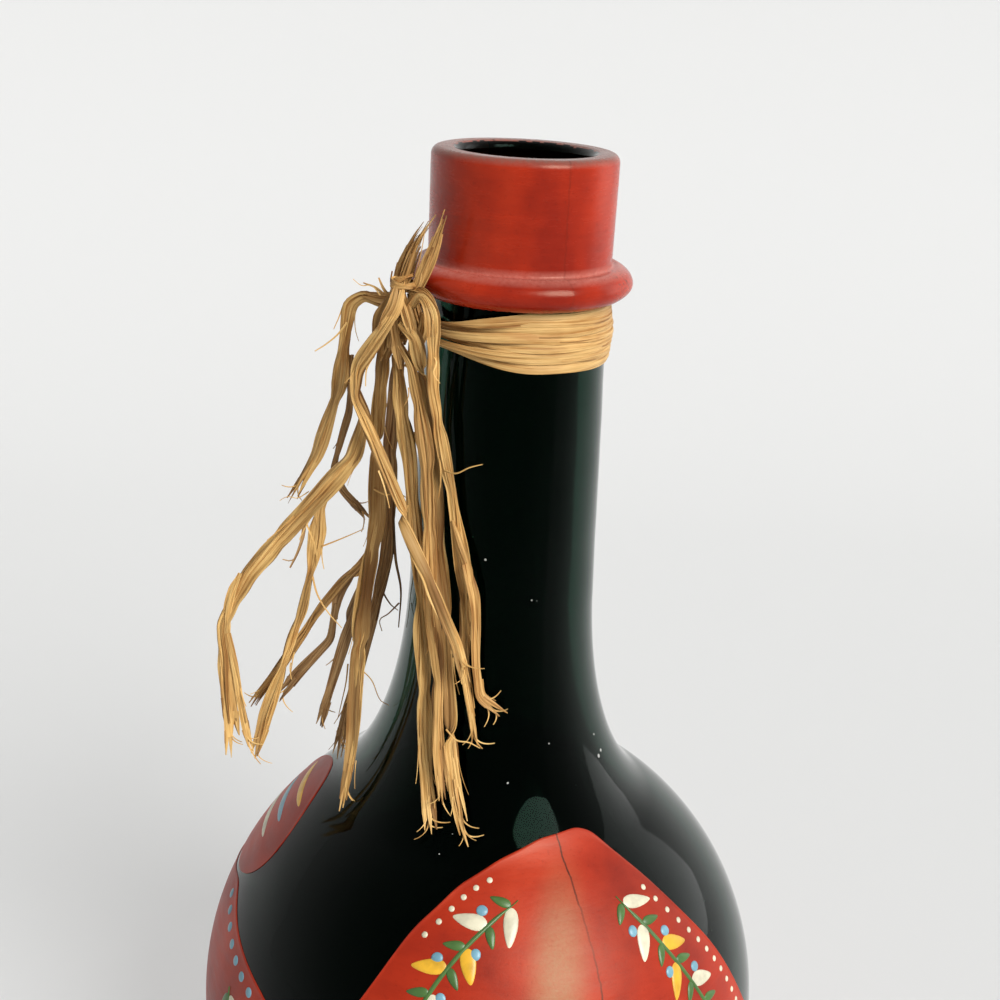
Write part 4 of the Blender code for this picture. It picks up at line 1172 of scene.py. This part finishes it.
def enamel_material(name, colour):
    look = Look(name, colour)
    cloud = look.noise((260, 260, 260), 4.0, 0.6)
    look.set("Base Color", look.ramp(cloud, (0.32, tuple(c * 0.72 for c in colour)), (0.6, colour)))
    look.set("Roughness", 0.34)
    look.bump(cloud, 0.25, 0.2 * MM)
    return look.material


ENAMELS = {
    "cream": (0.82, 0.76, 0.55),
    "yellow": (0.88, 0.48, 0.03),
    "blue": (0.20, 0.42, 0.52),
    "green": (0.065, 0.16, 0.030),
}
PATH_STEP = 0.8
# Each stem's path down the glass: azimuth and height
VINES = (
    ((10, 92.0), (3, 89.5), (-4, 85.5), (-9.5, 80), (-13.5, 72.5), (-16, 64), (-17, 54), (-16.5, 44),
     (-14, 34), (-9, 25)),
    ((39, 90), (44.5, 84), (49.5, 76.5), (54, 68), (57.5, 59), (59.5, 49), (59, 39.5), (56, 31), (51, 24)),
    ((138, 86), (128, 77), (120, 66), (115.5, 54), (114.5, 42), (117, 31), (123, 23)),
    ((170, 86), (178.5, 77), (184.5, 66), (188, 54), (188, 42), (185, 31), (179, 23)),
    ((-60, 62), (-57, 54), (-55.5, 44), (-55, 33), (-57, 23)),
    ((-112, 62), (-110, 53), (-108, 42), (-107.5, 31), (-109, 22)),
)


def dab(piece, azimuth, height, angle, length, width, taper=0.0, rise=0.30):
    """One raised stroke of enamel: a smooth lens, turned from the upright and tapered at its foot."""
    around = 22
    theta = np.arange(around) * 2 * math.pi / around
    start, radius = climb(height), radius_at(height)
    c, r = math.cos(math.radians(angle)), math.sin(math.radians(angle))

    def place(rho, lift):
        up = rho * np.cos(theta) * length / 2
        aside = rho * np.sin(theta) * width / 2 * (1 + taper * np.cos(theta))
        z = height_at(start + up * c - aside * r)
        return on_glass(azimuth + np.degrees((up * r + aside * c) / radius), z, lift)

    rings = [place(1.0, ENAMEL_FOOT)]
    for rho in (1.0, 0.93, 0.78, 0.5, 0.2):
        rings.append(place(rho, COAT + rise * math.sqrt(1 - min(rho, 0.995) ** 2)))
    faces = [(b, a, d, c) for a, b, c, d in band_faces(len(rings), around)]
    top = len(rings) * around
    for i in range(around):
        k = (i + 1) % around
        faces += [(top - around + k, top - around + i, top), (i, k, top + 1)]
    ends = [on_glass(azimuth, height, COAT + rise), on_glass(azimuth, height, ENAMEL_FOOT)]
    piece.add(np.vstack(rings + ends), faces)


def smooth_on_glass(path):
    """A smooth path of (azimuth, height) on the glass, with evenly spaced points."""
    curve = smooth_path([(azimuth * 0.9, height, 0.0) for azimuth, height in path], 0.5)
    path = np.stack([curve[:, 0] / 0.9, curve[:, 1]], -1)
    radius = radius_at(path[:, 1])
    turned = np.radians(np.diff(path[:, 0]))
    steps = np.hypot(turned * (radius[1:] + radius[:-1]) / 2, np.diff(climb(path[:, 1])))
    along = np.concatenate([[0], np.cumsum(steps)])
    at = np.arange(0, along[-1], PATH_STEP)
    return np.stack([np.interp(at, along, path[:, i]) for i in (0, 1)], -1)


def headings(path):
    """The way of a path at each point: degrees from straight up the glass, towards +azimuth."""
    aside = np.gradient(np.radians(path[:, 0])) * radius_at(path[:, 1])
    return np.degrees(np.arctan2(aside, np.gradient(climb(path[:, 1]))))


def shifted(azimuth, height, heading, distance):
    """The point some millimetres away over the glass along a heading."""
    turned = np.radians(heading)
    z = height_at(climb(height) + distance * np.cos(turned))
    return azimuth + np.degrees(distance * np.sin(turned) / radius_at(height)), z


def stem(piece, path, width=0.9, rise=0.22):
    """A thin raised line of enamel along a path."""
    way = headings(path)
    share = np.linspace(0, 1, len(path))
    wide = width * np.clip(np.minimum(share, 1 - share) * 14, 0.25, 1) / 2
    foot, flank, rows = ENAMEL_FOOT, COAT + rise * 0.75, []
    for across, lift in ((-1, foot), (-0.6, flank), (0, COAT + rise), (0.6, flank), (1, foot)):
        azimuth, z = shifted(*path.T, way + 90, across * wide)
        rows.append(on_glass(azimuth, z, lift))
    ring, last = len(rows), (len(path) - 1) * len(rows)
    faces = band_faces(len(path), ring)
    faces += [tuple(range(ring))[::-1], tuple(last + j for j in range(ring))]
    piece.add(np.stack(rows, 1), faces)


def add_vine(pieces, path, seed, spacing=5.4):
    """A stem with leaves on alternate sides, a small green leaf across from each, and berries."""
    fine = smooth_on_glass(path)
    way = headings(fine)
    stem(pieces["green"], fine)
    rng = random.Random(seed)
    for k, at in enumerate(np.arange(2.0, PATH_STEP * (len(fine) - 3), spacing)):
        i = int(at / PATH_STEP)
        beyond = min(i + 3, len(fine) - 1)
        side = 1 if k % 2 else -1
        turn = way[i] + side * rng.uniform(42, 54)
        length = 6.8 * rng.uniform(0.92, 1.08)
        leaf, colour = shifted(*fine[i], turn, 0.55 * length), "cream" if k % 4 < 2 else "yellow"
        dab(pieces[colour], *leaf, turn, length, 2.7 * rng.uniform(0.92, 1.08), -0.4)
        turn = way[i] - side * rng.uniform(50, 62)
        dab(pieces["green"], *shifted(*fine[i], turn, 2.3), turn, 4.2, 1.7, -0.4)
        turn = way[beyond] - side * rng.uniform(36, 48)
        dab(pieces["blue"], *shifted(*fine[beyond], turn, 3.7), turn, 2.2, 2.0)


def add_beads(piece, first, last, inset, size, spacing):
    """A row of dots beside a stretch of the coat's edge, between two azimuths."""
    fine = smooth_on_glass([point for point in UPPER_EDGE if first <= point[0] <= last])
    way = headings(fine)
    for i in range(2, len(fine) - 1, max(1, int(spacing / PATH_STEP))):
        dab(piece, *shifted(*fine[i], way[i] + 90, inset), 0, size, size, rise=0.22)


def add_decoration():
    pieces = {name: Piece("enamel_" + name) for name in ENAMELS}
    for k, path in enumerate(VINES):
        add_vine(pieces, path, 2000 + k)
    for first, last in ((-24, 16), (46, 73), (106, 140), (167, 202)):
        add_beads(pieces["cream"], first, last, 2.6, 1.15, 3.2)
    add_beads(pieces["blue"], -84, -42, 3.0, 2.0, 4.8)
    for name, height in (("yellow", 90.5), ("blue", 86.5), ("cream", 82.5)):
        dab(pieces[name], -94.0, height, 90, 19.0, 1.9, rise=0.2)
    for name, piece in pieces.items():
        piece.build(enamel_material("enamel_" + name, ENAMELS[name]))


add_panels()
add_decoration()


# Floor and light
def studio_material(name, colour, shown):
    """A matt material that glows too, for rays that see it directly."""
    look = Look(name, colour)
    look.set("Roughness", 0.9)
    look.set("Specular IOR Level", 0.1)
    share = look.times(look.seen_directly(), shown)
    both = look.node("MixShader", share, look.shader.outputs[0], look.node("Emission", colour))
    look.feed(look.tree.nodes["Material Output"].inputs[0], both)
    return look.material


def add_floor():
    """A pale floor that sweeps up into a backdrop behind the bottle."""
    back, rise, bow, reach = 0.75, 1.1, 0.35, 6.0
    turned = np.linspace(0, math.pi / 2, 24)
    sweep = [(back - bow + bow * math.sin(a), bow - bow * math.cos(a)) for a in turned]
    outline = [(-reach, 0.0), *sweep, (back, rise)]
    faces = band_faces(len(outline), 2, closed=False)
    mesh = bpy.data.meshes.new("floor")
    mesh.from_pydata([(x, y, z) for y, z in outline for x in (-reach, reach)], [], faces)
    mesh.polygons.foreach_set("use_smooth", [True] * len(faces))
    mesh.materials.append(studio_material("pale_floor", (0.80, 0.80, 0.79), 0.6))
    floor = bpy.data.objects.new("floor", mesh)
    bpy.context.collection.objects.link(floor)


def add_lamp(name, kind, way, **settings):
    """A lamp that the camera doesn't see, turned so that its light comes from a direction."""
    data = bpy.data.lights.new(name, kind)
    for key, value in settings.items():
        setattr(data, key, value)
    light = bpy.data.objects.new(name, data)
    light.rotation_euler = Vector(way).to_track_quat("Z", "Y").to_euler()
    light.visible_camera = False
    bpy.context.collection.objects.link(light)
    return light


def add_card(place, aim, wide, tall, power):
    """A dim card beside the bottle, there only to be mirrored in the glass."""
    card = add_lamp("right_card", "AREA", Vector(place) - Vector(aim), shape="RECTANGLE", size=wide,
                    size_y=tall, energy=power)
    card.location = place
    card.visible_diffuse = False


def add_world(colour, strength, shown):
    """A plain sky that lights the scene at one strength and is seen as a pale backdrop."""
    world = bpy.data.worlds.new("world")
    bpy.context.scene.world = world
    world.use_nodes = True
    sky, lighting = Nodes(world.node_tree), world.node_tree.nodes["Background"]
    sky.feed(lighting.inputs["Color"], colour)
    sky.feed(lighting.inputs["Strength"], strength)
    both = sky.node("MixShader", sky.seen_directly(), lighting.outputs[0], sky.node("Background", shown))
    sky.feed(world.node_tree.nodes["World Output"].inputs[0], both)


add_floor()
add_lamp("key", "SUN", (1.12, -1.20, 1.10), energy=3.6, angle=math.radians(34))
add_card(place=(1.0, 0.42, 0.45), aim=(0, 0.2, 0.30), wide=0.56, tall=0.9, power=1.6)
add_world(colour=(0.90, 0.93, 0.96), strength=0.10, shown=(0.78, 0.78, 0.77))
bpy.context.scene.view_settings.view_transform = "Standard"
